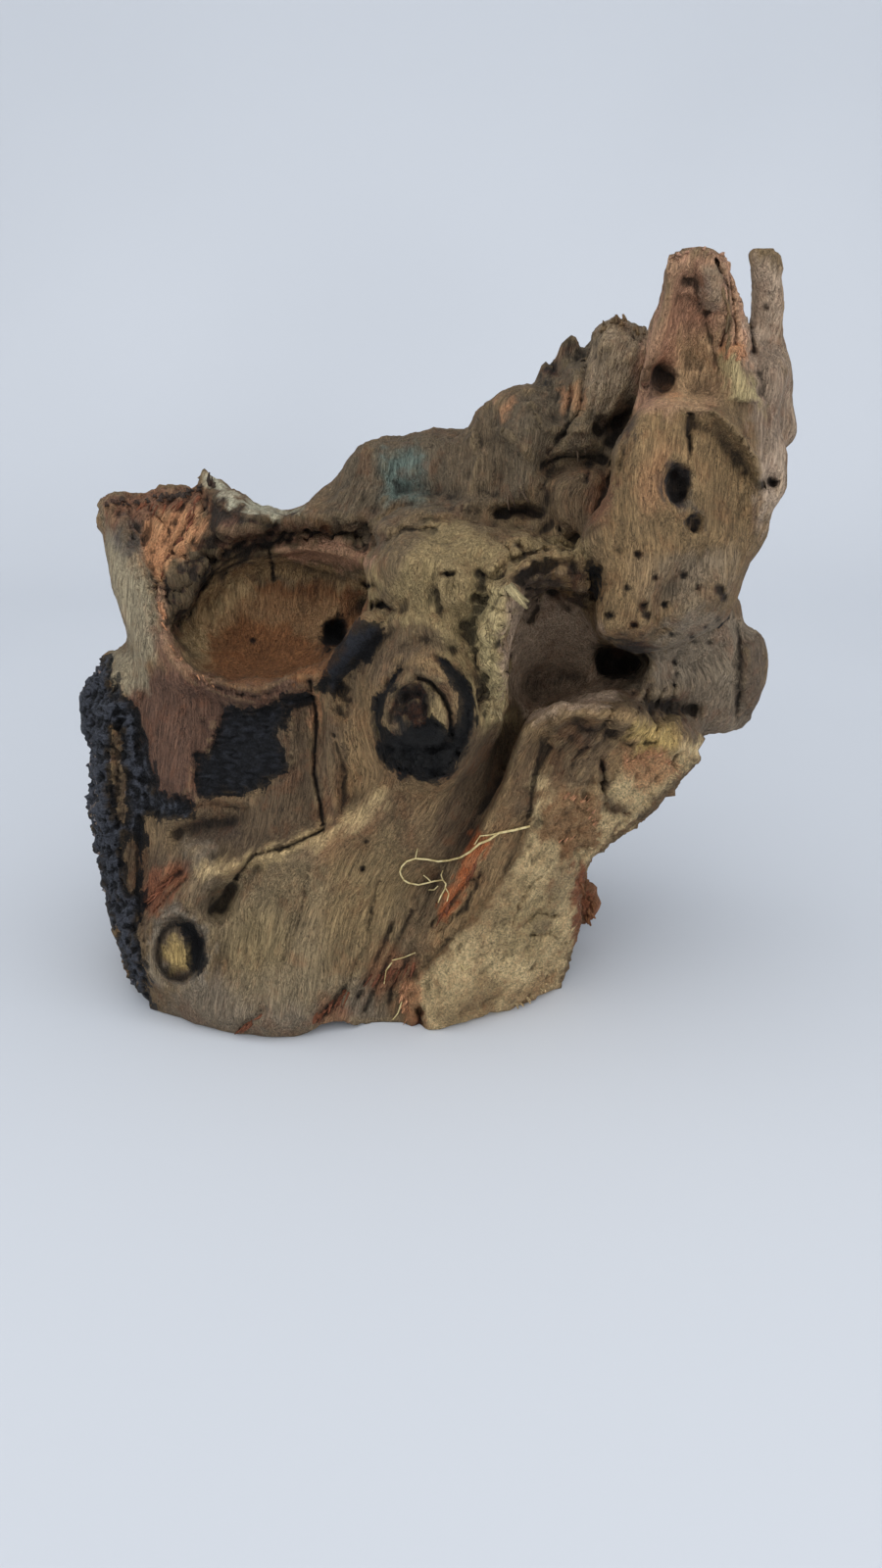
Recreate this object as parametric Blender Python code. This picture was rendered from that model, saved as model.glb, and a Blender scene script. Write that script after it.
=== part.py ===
"""A gnarled piece of driftwood: a broken root burl with a bowl, a cave, a mask-like lobe and a torn crown.

It is one natural solid. Lobes are swollen from outlines, limbs are tapered curves, and hollows are cut
out of their sum. Brush strokes then raise its ridges, knots and lips and press in its grooves and pits.

Outlines and strokes are given as the eye sees them from the front, in points of a sheet that is 900 wide
and 1600 high, and sight() puts them in space at their depth. Depths and heights are in millimetres.
The frame has +Z up, the front faces -Y, and the origin is the middle of the box's base.
"""

import math

import bmesh
import bpy
import numpy as np
from mathutils import Matrix, Vector, noise
from mathutils.bvhtree import BVHTree

MM = 0.001

# The eye that the outlines are drawn from
EYE = Vector((8.0, -379.0, 217.0))
LOOK_DOWN = math.radians(22.0)
SHEET_MIDDLE = (450.0, 800.0)
SIGHT_LENGTH = 1200.0  # sheet points to a slope of 1
# Where the middle of the finished piece's base falls in the eye's frame
BASE_MIDDLE = Vector((3.42, 0.18, 0.0))

# Fineness
FUSE_VOXEL = 1.7
TRIANGLES = 11400
ROUNDING_TURNS = 3  # after the lobes are fused
CUT_ROUNDING_TURNS = 2  # after the hollows are cut

# Weathering: wavelengths and depths of the flutes along the grain, of the lumps and of the dimples
FLUTE_WIDTH, FLUTE_LENGTH, FLUTE_RISE = 17.0, 60.0, 1.8
LUMP_WIDTH, LUMP_RISE = 21.0, 1.6
DIMPLE_WIDTH, DIMPLE_RISE = 9.0, 0.8
BACK_ROUGHNESS = 0.9  # how much more the back is weathered than the sides
WOOD_COLOUR = (0.27, 0.19, 0.11, 1.0)

# Lobes: outline, spine, depth (at the sheet's middle, per 100 across, per 100 down), front, back, fullness
LOBES = {
    "belly": (
        ((97, 690), (84, 722), (97, 766), (96, 830), (105, 892), (121, 965), (150, 1019), (180, 1046),
         (225, 1066), (290, 1074), (345, 1066), (405, 1046), (440, 1000), (480, 900), (510, 800), (490, 690),
         (420, 640), (300, 650), (200, 640), (140, 650)),
        ((220, 800), (380, 800)), (-24.5, -5.0, -12.6), 19.0, 48.0, 2.8,
    ),
    "leg": (
        ((418, 1060), (430, 1072), (484, 1064), (520, 1036), (568, 1010), (582, 964), (596, 884), (628, 852),
         (660, 824), (700, 788), (713, 754), (690, 735), (640, 716), (569, 722), (536, 742), (518, 795),
         (490, 850), (463, 898), (434, 958), (410, 1010)),
        ((480, 980), (530, 880), (620, 780)), (-54.0, 18.0, 3.0), 10.0, 30.0, 3.6,
    ),
    "boss": (
        ((372, 560), (420, 516), (480, 530), (540, 548), (600, 572), (604, 600), (556, 596), (530, 640),
         (514, 730), (484, 790), (440, 818), (395, 800), (340, 775), (322, 700), (366, 640)),
        ((430, 590), (430, 740)), (-33.0, -7.5, -12.0), 21.0, 24.0, 2.2,
    ),
    "bowl": (
        ((106, 511), (150, 506), (200, 500), (243, 506), (292, 524), (330, 512), (400, 530), (420, 600),
         (392, 690), (300, 716), (210, 712), (152, 690), (121, 616), (111, 570)),
        ((230, 620), (300, 630)), (-46.0, -3.0, -23.0), 8.0, 38.0, 3.0,
    ),
    "ridge_left": (
        ((311, 518), (345, 487), (369, 455), (415, 446), (480, 434), (512, 422), (549, 408), (600, 420),
         (620, 500), (600, 580), (520, 600), (400, 580), (330, 560)),
        ((400, 510), (540, 500)), (30.0, 0.0, 0.0), 14.0, 20.0, 2.4,
    ),
    "ridge_right": (
        ((526, 422), (550, 400), (575, 374), (600, 374), (606, 338), (628, 322), (645, 334), (664, 344),
         (700, 400), (700, 500), (640, 560), (560, 540), (520, 470)),
        ((590, 460), (630, 400)), (22.0, 0.0, 0.0), 16.0, 24.0, 2.4,
    ),
    "core": (
        ((330, 560), (480, 540), (640, 560), (720, 600), (725, 700), (620, 800), (500, 900), (380, 880),
         (320, 760)),
        ((430, 660), (600, 660)), (24.0, 0.0, 0.0), 13.0, 30.0, 2.8,
    ),
    "mask": (
        ((660, 412), (640, 440), (627, 466), (626, 502), (604, 532), (594, 560), (612, 590), (609, 641),
         (632, 657), (662, 662), (700, 652), (748, 622), (761, 584), (783, 537), (800, 500), (799, 447),
         (790, 425), (745, 396), (700, 398)),
        ((690, 480), (680, 590)), (-48.5, 8.0, -5.0), 19.0, 30.0, 3.2,
    ),
    "horn": (
        ((679, 266), (690, 257), (718, 252), (744, 262), (748, 300), (756, 330), (772, 380), (780, 440),
         (700, 450), (650, 430), (650, 395), (662, 344), (674, 308)),
        ((715, 320), (710, 400)), (-7.0, 2.0, 1.0), 8.0, 13.0, 3.0,
    ),
    "shoulder": (
        ((745, 396), (770, 360), (799, 372), (804, 418), (799, 447), (801, 498), (790, 520), (760, 560),
         (720, 560), (720, 440)),
        ((765, 430), (760, 500)), (0.0, 0.0, 0.0), 16.0, 22.0, 2.4,
    ),
    "side_lobe": (
        ((640, 650), (700, 630), (748, 606), (756, 645), (777, 650), (780, 690), (757, 738), (722, 748),
         (680, 748), (640, 720), (620, 685)),
        ((680, 685), (730, 685)), (-50.0, 23.0, 0.0), 12.0, 26.0, 2.6,
    ),
    "chip": (
        ((584, 880), (596, 892), (611, 910), (613, 931), (600, 940), (596, 952), (580, 960), (568, 920)),
        ((588, 925), (592, 915)), (6.0, 0.0, 0.0), 4.0, 7.0, 2.0,
    ),
}

# Hollows cut from the front, in the same form as the lobes
HOLLOWS = {
    "bowl_hollow": (
        ((168, 640), (185, 618), (212, 588), (250, 566), (300, 560), (350, 566), (378, 592), (372, 630),
         (340, 672), (310, 688), (266, 700), (228, 694), (190, 678)),
        ((235, 632), (310, 630)), (-50.8, -3.0, -25.0), 40.0, 27.0, 2.6,
    ),
    "bowl_gutter": (
        ((212, 562), (234, 546), (262, 538), (300, 534), (350, 531), (390, 536), (397, 556), (374, 570),
         (345, 561), (300, 558), (270, 560), (238, 570), (216, 584)),
        ((250, 556), (360, 548)), (-46.0, -3.0, -23.0), 34.0, 5.0, 2.4,
    ),
    "bowl_scoop": (
        ((112, 496), (165, 492), (205, 478), (222, 520), (214, 552), (184, 582), (162, 612), (146, 576),
         (128, 540)),
        ((160, 540), (178, 535)), (-46.0, -3.0, -23.0), 30.0, 1.0, 2.4,
    ),
    "bowl_side": (
        ((350, 582), (384, 590), (404, 616), (382, 648), (350, 664), (336, 630)),
        ((362, 620), (372, 620)), (6.0, 0.0, 0.0), 3.0, 20.0, 2.2,
    ),
    "cave": (
        ((536, 612), (560, 600), (604, 604), (612, 650), (660, 666), (650, 694), (610, 712), (560, 716),
         (524, 722), (520, 680), (530, 640)),
        ((560, 660), (610, 665)), (-8.0, 0.0, 0.0), 60.0, 14.0, 2.2,
    ),
    "cave_back": (
        ((606, 656), (640, 660), (664, 668), (654, 690), (628, 698), (606, 690)),
        ((625, 676), (640, 676)), (0.0, 0.0, 0.0), 40.0, 34.0, 2.0,
    ),
    "horn_pit": (
        ((664, 376), (680, 368), (690, 384), (684, 402), (668, 402)),
        ((675, 386), (677, 386)), (-12.0, 0.0, 0.0), 30.0, 8.0, 2.0,
    ),
    "slit": (
        ((505, 524), (530, 515), (552, 520), (530, 530)),
        ((515, 523), (540, 521)), (8.0, 0.0, 0.0), 30.0, 12.0, 2.0,
    ),
    "arch_gap": (
        ((600, 580), (612, 578), (614, 596), (603, 602)),
        ((606, 588), (608, 590)), (-10.0, 0.0, 0.0), 40.0, 14.0, 2.0,
    ),
}

# Limbs: points of (across, down, depth, radius)
LIMBS = {
    "right_horn": ((777, 253, 6, 5.4), (780, 300, 6, 5.6), (781, 350, 6, 6.2), (784, 400, 5, 7.5),
                   (788, 460, 2, 8.0)),
    "horn_edge": ((742, 262, -2, 2.4), (745, 310, -2, 3.0), (752, 350, -2, 4.6), (762, 390, -2, 6.0)),
    "pale_spike": ((748, 358, -14, 2.6), (750, 385, -15, 4.2), (756, 420, -15, 5.5), (770, 460, -14, 6.0)),
    "crown_spike_1": ((556, 372, 34, 2.6), (558, 390, 33, 3.6), (560, 404, 33, 4.4)),
    "crown_spike_2": ((584, 346, 28, 3.2), (580, 372, 28, 4.6), (574, 402, 28, 6.4)),
    "crown_spike_3": ((655, 338, 18, 2.6), (650, 356, 18, 4.0), (646, 376, 18, 5.0)),
    "crown_spike_4": ((618, 330, 22, 3.0), (618, 350, 22, 4.4), (616, 380, 22, 6.0)),
    "fin": ((211, 486, 34, 2.2), (228, 500, 34, 3.2), (258, 518, 35, 4.0), (300, 528, 34, 4.4)),
    "bone": ((600, 600, -24, 3.4), (590, 582, -27, 4.0), (562, 573, -31, 4.2), (534, 580, -35, 4.6),
             (515, 604, -38, 4.6), (508, 640, -40, 4.6), (504, 690, -40, 4.0), (504, 716, -38, 3.0)),
    "bone_spur": ((528, 612, -38, 3.0), (540, 626, -36, 2.2), (553, 633, -34, 1.5)),
    "bone_tooth": ((506, 705, -40, 3.0), (511, 722, -40, 2.2), (511, 734, -40, 1.4)),
    "bowl_lip": ((324, 700, -21, 2.8), (342, 678, -25, 3.8), (364, 654, -27, 3.8), (386, 634, -28, 3.0)),
}

# Brush strokes: sheet points, radius, rise towards the eye (minus presses in) and steep side.
# The steep side is 0 for neither, and 1 or -1 for one side of the line as it runs.
STROKES = {
    "trough": (((572, 690), (530, 770), (486, 850), (444, 930), (404, 1022)), 21.0, -15.0, 0),
    "trough_low": (((430, 900), (396, 960), (372, 1030)), 16.0, -5.0, 0),
    "cave_floor": (((548, 700), (600, 700), (640, 700)), 10.0, -7.0, 0),
    "belly_dish": (((250, 950), (330, 930), (390, 900)), 26.0, -7.0, 0),
    "char_ridge": (((118, 690), (104, 750), (112, 830), (122, 900), (140, 970)), 8.0, 4.0, 0),
    "char_gutter": (((138, 740), (140, 830), (146, 900)), 9.0, -2.0, 0),
    "plate_edge": (((322, 712), (324, 762), (322, 804), (328, 842)), 11.0, -4.0, -1),
    "plate_foot": (((330, 846), (290, 862), (236, 882), (190, 902)), 11.0, 4.5, 1),
    "brow_streak": (((180, 852), (214, 842), (244, 834)), 6.0, -4.0, 0),
    "dark_pit": (((222, 926), (236, 904), (262, 884)), 6.0, -5.0, 0),
    "bowl_front_lip": (((172, 660), (196, 690), (236, 708), (276, 700), (318, 694)), 5.0, 3.5, 0),
    "bowl_broken_face": (((190, 590), (240, 548), (300, 536), (370, 552)), 8.0, -4.0, 0),
    "boss_valley": (((420, 528), (470, 536), (520, 530)), 9.0, -4.0, 0),
    "ridge_lip": (((392, 516), (430, 512), (470, 524), (508, 518)), 5.0, 3.0, 0),
    "boss_brow": (((384, 574), (420, 566), (456, 588), (480, 604)), 9.0, 4.0, 0),
    "boss_notch": (((372, 618), (396, 626)), 5.0, -3.0, 0),
    "boss_hollow": (((360, 720), (372, 760), (360, 800)), 12.0, -4.0, 0),
    "mask_brow": (((656, 420), (700, 418), (738, 436), (768, 470), (780, 500)), 7.0, 3.5, 1),
    "mask_cheek": (((740, 470), (752, 520)), 13.0, -3.5, 0),
    "mask_ledge": (((742, 556), (706, 572), (676, 604), (664, 640)), 10.0, -3.5, 1),
    "mask_left_edge": (((630, 470), (628, 502), (606, 540)), 6.0, 3.0, 0),
    "horn_channel": (((702, 292), (706, 330), (704, 368), (712, 400)), 8.0, -6.0, 0),
    "horn_left_edge": (((682, 280), (672, 330), (660, 370), (652, 400)), 4.5, 3.0, 0),
    "ridge_fold_1": (((500, 430), (512, 480), (500, 510)), 8.0, -3.0, 0),
    "ridge_fold_2": (((560, 400), (570, 440), (556, 470)), 8.0, -4.0, 0),
    "ridge_fold_3": (((610, 360), (606, 400), (590, 440)), 7.0, 4.0, 0),
    "under_mask_edge": (((650, 410), (628, 446), (612, 470), (560, 480)), 6.0, -7.0, 0),
    "side_dish": (((650, 690), (690, 680), (730, 670)), 9.0, -4.0, 0),
    "side_gap": (((668, 726), (704, 722)), 6.0, -7.0, 0),
    "leg_crest": (((570, 724), (538, 744), (520, 796), (498, 838), (466, 898), (436, 958)), 6.0, 4.0, 0),
    "leg_dish": (((560, 770), (600, 758), (650, 756)), 10.0, -4.0, 0),
    "leg_face": (((548, 850), (520, 920), (490, 980)), 12.0, -3.5, 0),
    "leg_shelf": (((566, 722), (596, 730), (624, 726), (652, 738)), 5.0, 3.0, 0),
    "leg_shelf_dip": (((560, 748), (590, 742), (620, 742)), 6.0, -3.0, 0),
    "tongue": (((178, 704), (184, 760), (186, 800)), 15.0, 2.0, 0),
    "left_valley": (((150, 850), (152, 900), (150, 930)), 9.0, -3.5, 0),
    "belly_fold_1": (((392, 806), (372, 836), (330, 862)), 7.0, 3.0, 0),
    "belly_fold_2": (((350, 900), (310, 960), (270, 1030)), 13.0, 2.5, 0),
    "belly_fold_3": (((398, 880), (366, 950), (338, 1030)), 9.0, -3.0, 0),
    "belly_toe": (((176, 1024), (230, 1040), (300, 1044)), 8.0, 3.0, 0),
    "lip_valley": (((396, 646), (372, 676), (350, 706)), 6.0, -4.0, 0),
    "bone_dip": (((478, 636), (484, 676), (482, 706)), 6.0, -3.0, 0),
    "boss_cheek": (((400, 660), (420, 650), (444, 652)), 8.0, 3.0, 0),
    "boss_arm": (((344, 724), (356, 770), (376, 806)), 8.0, 3.0, 0),
    "horn_crease": (((722, 318), (730, 350), (732, 392)), 4.0, -3.5, 0),
    "mask_chin": (((622, 640), (650, 640), (690, 628), (726, 608)), 7.0, 3.0, 0),
    "strands": (((664, 690), (650, 716), (640, 740)), 6.0, 3.0, 0),
}

# Knots: middle on the sheet, half width, half height, and (share of the radius, rise) from the middle out
KNOTS = {
    "great_knot": (
        (434, 735), 52, 63,
        ((0, -1.5), (0.25, 0.0), (0.46, 1.5), (0.56, -2.5), (0.68, 3.0), (0.9, 4.6), (1.02, 1.5), (1.3, 0.0)),
    ),
    "low_knot": ((182, 968), 36, 46, ((0, -3.0), (0.5, -0.5), (0.64, -3.0), (0.85, 4.0), (1.3, 0.0))),
    "small_bump": ((203, 874), 18, 18, ((0, 3.0), (0.6, 2.0), (1.1, 0.0))),
    "oval_knot": ((594, 512), 40, 48, ((0, 4.0), (0.7, 3.0), (0.84, -4.0), (1.0, -1.0), (1.2, 0.0))),
    "boss_lump": ((432, 516), 14, 16, ((0, 4.5), (0.6, 3.5), (1.1, 0.0))),
    "boss_crown": ((410, 584), 30, 28, ((0, 4.5), (0.5, 3.5), (0.8, 2.0), (1.15, 0.0))),
    "boss_eye": ((463, 598), 15, 22, ((0, -2.5), (0.4, -1.0), (0.75, 2.2), (1.2, 0.0))),
    "mask_knot": ((690, 494), 17, 27, ((0, -7.0), (0.6, -6.0), (0.9, 1.2), (1.3, 0.0))),
    "mask_knot_2": ((708, 533), 12, 12, ((0, -5.0), (0.6, -4.0), (1.0, 1.0), (1.4, 0.0))),
    "bowl_side_hole": ((342, 648), 13, 17, ((0, -10.0), (0.7, -8.0), (1.1, 0.0))),
    "shoulder_knob": ((775, 519), 14, 18, ((0, 2.0), (0.6, 2.5), (0.8, 0.0), (1.2, 0.0))),
    "shoulder_pit": ((787, 492), 8, 12, ((0, -6.0), (0.6, -4.0), (1.2, 0.0))),
    "arch_eye": ((580, 596), 16, 18, ((0, -4.0), (0.5, -2.0), (0.8, 3.0), (1.2, 0.0))),
    "side_stump": ((766, 692), 16, 44, ((0, 3.0), (0.7, 3.0), (1.0, -2.0), (1.3, 0.0))),
}

# Hidden masses behind: middle (x, y, z) and half sizes
MASSES = {
    "trunk": ((-18, 16, 74), (84, 34, 60)),
    "upper_back": ((44, 20, 138), (44, 28, 58)),
    "bowl_back": ((-62, 30, 112), (40, 22, 40)),
    "under_mask": ((62, 8, 96), (30, 30, 34)),
}
# Masses taken away: under the arch between the feet, and old rot holes behind
GAPS = {
    "under_arch": ((-14, 6, -6), (80, 44, 24)),
    "under_toe": ((-22, -44, -4), (20, 26, 8)),
    "under_leg": ((44, 6, -4), (22, 34, 14)),
    "rot_hole": ((-34, 58, 88), (17, 16, 22)),
    "rot_hole_low": ((2, 54, 46), (11, 14, 13)),
    "rot_cleft": ((34, 58, 128), (9, 14, 26)),
}
# Hidden roots and ribs: points of (x, y, z, radius)
ROOTS = {
    "back_foot": ((20, 26, 60, 22), (30, 42, 28, 15), (38, 52, 6, 11), (40, 54, -8, 10)),
    "left_root": ((-50, 24, 66, 20), (-66, 40, 36, 13), (-72, 50, 10, 9), (-73, 52, -6, 8)),
    "chip_root": ((57, 8, 10, 4), (51, 11, 28, 7), (44, 14, 46, 11), (38, 16, 64, 14)),
    "back_rib": ((-84, 34, 130, 8), (-66, 46, 108, 10), (-52, 50, 76, 11), (-60, 46, 46, 10)),
    "back_rib_right": ((66, 36, 186, 8), (52, 46, 150, 11), (58, 46, 104, 13), (40, 48, 60, 13)),
    "back_root": ((-6, 44, 118, 9), (-2, 50, 84, 10), (16, 50, 56, 12), (30, 46, 32, 12)),
}


def sight(across, down, depth):
    """The point at this depth that the eye sees at that place on the sheet."""
    right = (across - SHEET_MIDDLE[0]) / SIGHT_LENGTH
    drop = (down - SHEET_MIDDLE[1]) / SIGHT_LENGTH
    cos, sin = math.cos(LOOK_DOWN), math.sin(LOOK_DOWN)
    ray = Vector((right, cos - drop * sin, -sin - drop * cos))
    return EYE + ray * ((depth - EYE.y) / ray.y)


def seen_at(points):
    """Where on the sheet the eye sees each row of points."""
    away = points - np.array(EYE)
    cos, sin = math.cos(LOOK_DOWN), math.sin(LOOK_DOWN)
    ahead = away[:, 1] * cos - away[:, 2] * sin
    drop = -away[:, 1] * sin - away[:, 2] * cos
    sheet = np.stack([away[:, 0], drop], axis=1) / ahead[:, None]
    return sheet * SIGHT_LENGTH + np.array(SHEET_MIDDLE)


def smooth_loop(corners, steps=4):
    """A closed Catmull-Rom curve through the corners."""
    p = np.array(corners, float)
    before, after, beyond = np.roll(p, 1, 0), np.roll(p, -1, 0), np.roll(p, -2, 0)
    loop = []
    for i in range(len(p)):
        for t in np.arange(steps) / steps:
            loop.append(
                0.5 * (2 * p[i] + (after[i] - before[i]) * t
                       + (2 * before[i] - 5 * p[i] + 4 * after[i] - beyond[i]) * t ** 2
                       + (3 * p[i] - before[i] - 3 * after[i] + beyond[i]) * t ** 3)
            )
    return np.array(loop)


def nearest_on_line(points, line):
    """The nearest point of an open line of corners to each point."""
    best = np.full(len(points), np.inf)
    found = np.zeros((len(points), 2))
    line = np.array(line, float)
    for a, b in zip(line[:-1], line[1:]):
        along = np.clip(((points - a) @ (b - a)) / ((b - a) @ (b - a)), 0, 1)
        on = a + along[:, None] * (b - a)
        far = np.linalg.norm(points - on, axis=1)
        found[far < best] = on[far < best]
        best = np.minimum(best, far)
    return found


def new_object(name, verts, faces):
    mesh = bpy.data.meshes.new(name)
    mesh.from_pydata([tuple(v) for v in verts], [], faces)
    obj = bpy.data.objects.new(name, mesh)
    bpy.context.scene.collection.objects.link(obj)
    return obj


def swollen(name, outline, spine, plane, front, back, fullness, rings=14):
    """A closed lobe with this outline, which swells towards the eye and away from it about its spine."""
    rim = smooth_loop(outline)
    heart = nearest_on_line(rim, spine)
    verts = []
    for angle in np.linspace(-math.pi / 2, math.pi / 2, rings + 1):
        spread = abs(math.cos(angle)) ** (2 / fullness)
        rise = math.copysign(abs(math.sin(angle)) ** (2 / fullness), angle)
        sheet = heart + (rim - heart) * spread
        flat = (sheet - np.array(SHEET_MIDDLE)) / 100
        depth = plane[0] + flat @ np.array(plane[1:])
        depth -= rise * (front if rise > 0 else back)
        verts += [sight(x, y, d) for (x, y), d in zip(sheet, depth)]
    n = len(rim)
    faces = [tuple(range(n - 1, -1, -1)), tuple(range(rings * n, rings * n + n))]
    for ring in range(rings):
        for i in range(n):
            j = (i + 1) % n
            low, high = ring * n, (ring + 1) * n
            faces.append((low + i, low + j, high + j, high + i))
    return new_object(name, verts, faces)


def limb(name, points):
    """A round tapered limb through points of (x, y, z, radius)."""
    curve = bpy.data.curves.new(name, "CURVE")
    curve.dimensions = "3D"
    curve.bevel_depth = 1.0
    curve.bevel_resolution = 3
    curve.use_fill_caps = True
    spline = curve.splines.new("NURBS")
    spline.points.add(len(points) - 1)
    for point, (x, y, z, radius) in zip(spline.points, points):
        point.co = (x, y, z, 1)
        point.radius = radius
    spline.use_endpoint_u = True
    spline.order_u = min(3, len(points))
    rod = bpy.data.objects.new(name, curve)
    bpy.context.scene.collection.objects.link(rod)
    bpy.context.view_layer.update()
    mesh = bpy.data.meshes.new_from_object(rod.evaluated_get(bpy.context.evaluated_depsgraph_get()))
    bpy.data.objects.remove(rod)
    obj = bpy.data.objects.new(name, mesh)
    bpy.context.scene.collection.objects.link(obj)
    return obj


def mass(name, middle, half_sizes):
    bpy.ops.mesh.primitive_uv_sphere_add(segments=32, ring_count=20, location=middle, scale=half_sizes)
    obj = bpy.context.object
    obj.name = name
    return obj


def joined(objects, name):
    bpy.ops.object.select_all(action="DESELECT")
    for obj in objects:
        obj.select_set(True)
    bpy.context.view_layer.objects.active = objects[0]
    bpy.ops.object.transform_apply(location=True, rotation=True, scale=True)
    bpy.ops.object.join()
    objects[0].name = name
    return objects[0]


def settle(obj):
    """Applies the modifiers."""
    bpy.context.view_layer.update()
    graph = bpy.context.evaluated_depsgraph_get()
    old = obj.data
    obj.data = bpy.data.meshes.new_from_object(obj.evaluated_get(graph))
    obj.modifiers.clear()
    bpy.data.meshes.remove(old)


def fuse(obj, voxel=FUSE_VOXEL):
    remesh = obj.modifiers.new("Fuse", "REMESH")
    remesh.mode = "VOXEL"
    remesh.voxel_size = voxel
    settle(obj)


def soften(obj, turns):
    smooth = obj.modifiers.new("Soften", "SMOOTH")
    smooth.factor = 0.5
    smooth.iterations = turns
    settle(obj)


def rough_body():
    pieces = [swollen(name, *shape) for name, shape in LOBES.items()]
    for name, points in LIMBS.items():
        pieces.append(limb(name, [(*sight(x, y, depth), r) for x, y, depth, r in points]))
    pieces += [mass(name, *shape) for name, shape in MASSES.items()]
    pieces += [limb(name, points) for name, points in ROOTS.items()]
    body = joined(pieces, "driftwood")
    fuse(body)
    soften(body, ROUNDING_TURNS)
    return body


def cut_hollows(body):
    cutters = [swollen(name, *shape) for name, shape in HOLLOWS.items()]
    cutters += [mass(name, *shape) for name, shape in GAPS.items()]
    cutters = joined(cutters, "hollows")
    fuse(cutters)
    cut = body.modifiers.new("Hollows", "BOOLEAN")
    cut.operation = "DIFFERENCE"
    cut.solver = "EXACT"
    cut.object = cutters
    settle(body)
    bpy.data.objects.remove(cutters)
    fuse(body)
    soften(body, CUT_ROUNDING_TURNS)


def vertices_of(obj):
    co = np.empty(len(obj.data.vertices) * 3)
    obj.data.vertices.foreach_get("co", co)
    return co.reshape(-1, 3)


def put_vertices(obj, points):
    obj.data.vertices.foreach_set("co", points.ravel())
    obj.data.update()


def touched(tree, across, down):
    """Where the eye's ray through this place on the sheet first meets the body, or None."""
    ray = (sight(across, down, 0) - EYE).normalized()
    return tree.ray_cast(EYE, ray)[0]


def walk(corners, step=7.0):
    """Points every few sheet points along an open line of corners."""
    line = np.array(corners, float)
    path = [line[0]]
    for a, b in zip(line[:-1], line[1:]):
        count = max(1, round(np.linalg.norm(b - a) / step))
        path += [a + (b - a) * i / count for i in range(1, count + 1)]
    return path


def to_eye(points):
    away = np.array(EYE) - points
    return away / np.linalg.norm(away, axis=1)[:, None]


def brush(body, corners, radius, rise, steep_side):
    """Raises or presses in the surface along a line on the sheet."""
    tree = BVHTree.FromObject(body, bpy.context.evaluated_depsgraph_get())
    hits = [touched(tree, x, y) for x, y in walk(corners)]
    path = np.array([hit for hit in hits if hit is not None])
    points = vertices_of(body)
    gaps = np.linalg.norm(points[:, None] - path[None], axis=2)
    nearest = gaps.argmin(axis=1)
    share = gaps.min(axis=1) / radius
    if steep_side and len(path) > 1:
        sheet, line = seen_at(points), seen_at(path)
        heading = np.gradient(line, axis=0)[nearest]
        off = sheet - line[nearest]
        side = np.sign(heading[:, 0] * off[:, 1] - heading[:, 1] * off[:, 0])
        share = np.where(side == steep_side, share * 3.0, share)
    weight = np.clip(1 - share ** 2, 0, 1) ** 2
    put_vertices(body, points + to_eye(points) * (weight * rise)[:, None])


def knot(body, middle, half_width, half_height, profile):
    """Turns a round profile about a place on the sheet."""
    tree = BVHTree.FromObject(body, bpy.context.evaluated_depsgraph_get())
    centre = touched(tree, *middle)
    points = vertices_of(body)
    sheet = (seen_at(points) - np.array(middle)) / np.array([half_width, half_height])
    radius = np.linalg.norm(sheet, axis=1)
    shares, rises = zip(*profile)
    rise = np.interp(radius, shares, rises, right=0.0)
    reach = 1.4 * max(half_width, half_height) * (centre - EYE).length / SIGHT_LENGTH
    rise[np.linalg.norm(points - np.array(centre), axis=1) > reach] = 0.0
    put_vertices(body, points + to_eye(points) * rise[:, None])


def weather(body):
    """Flutes and hollows of many sizes, so that no side is plain."""
    body.data.update()
    points = vertices_of(body)
    normals = np.empty(len(points) * 3)
    body.data.vertices.foreach_get("normal", normals)
    rise = np.zeros(len(points))
    for i, p in enumerate(points):
        flute = noise.noise(Vector((p[0] / FLUTE_WIDTH, p[1] / FLUTE_WIDTH, p[2] / FLUTE_LENGTH)))
        lump = noise.noise(Vector(p) / LUMP_WIDTH)
        dimple = noise.noise(Vector(p) / DIMPLE_WIDTH)
        rise[i] = FLUTE_RISE * flute + LUMP_RISE * lump + DIMPLE_RISE * dimple
    normals = normals.reshape(-1, 3)
    rise *= 1 + BACK_ROUGHNESS * np.clip(normals[:, 1], 0, 1)
    put_vertices(body, points + normals * rise[:, None])


def sculpt(body):
    for stroke in STROKES.values():
        brush(body, *stroke)
    fuse(body)
    weather(body)
    for turned in KNOTS.values():
        knot(body, *turned)


def trim_base(body):
    """Cuts the feet flat where they stand."""
    shape = bmesh.new()
    shape.from_mesh(body.data)
    everything = shape.verts[:] + shape.edges[:] + shape.faces[:]
    floor = {"plane_co": (0, 0, 0), "plane_no": (0, 0, 1)}
    cut = bmesh.ops.bisect_plane(shape, geom=everything, clear_inner=True, **floor)
    edges = [e for e in cut["geom_cut"] if isinstance(e, bmesh.types.BMEdge)]
    bmesh.ops.holes_fill(shape, edges=edges)
    bmesh.ops.triangulate(shape, faces=shape.faces[:])
    shape.to_mesh(body.data)
    shape.free()


def thin_out(obj, triangles):
    tris = obj.modifiers.new("Triangles", "TRIANGULATE")
    tris.quad_method = "BEAUTY"
    settle(obj)
    decimate = obj.modifiers.new("Fewer faces", "DECIMATE")
    decimate.ratio = triangles / len(obj.data.polygons)
    settle(obj)


def wood():
    material = bpy.data.materials.new("driftwood")
    material.use_nodes = True
    shader = material.node_tree.nodes["Principled BSDF"]
    shader.inputs["Base Color"].default_value = WOOD_COLOUR
    shader.inputs["Roughness"].default_value = 0.85
    return material


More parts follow.
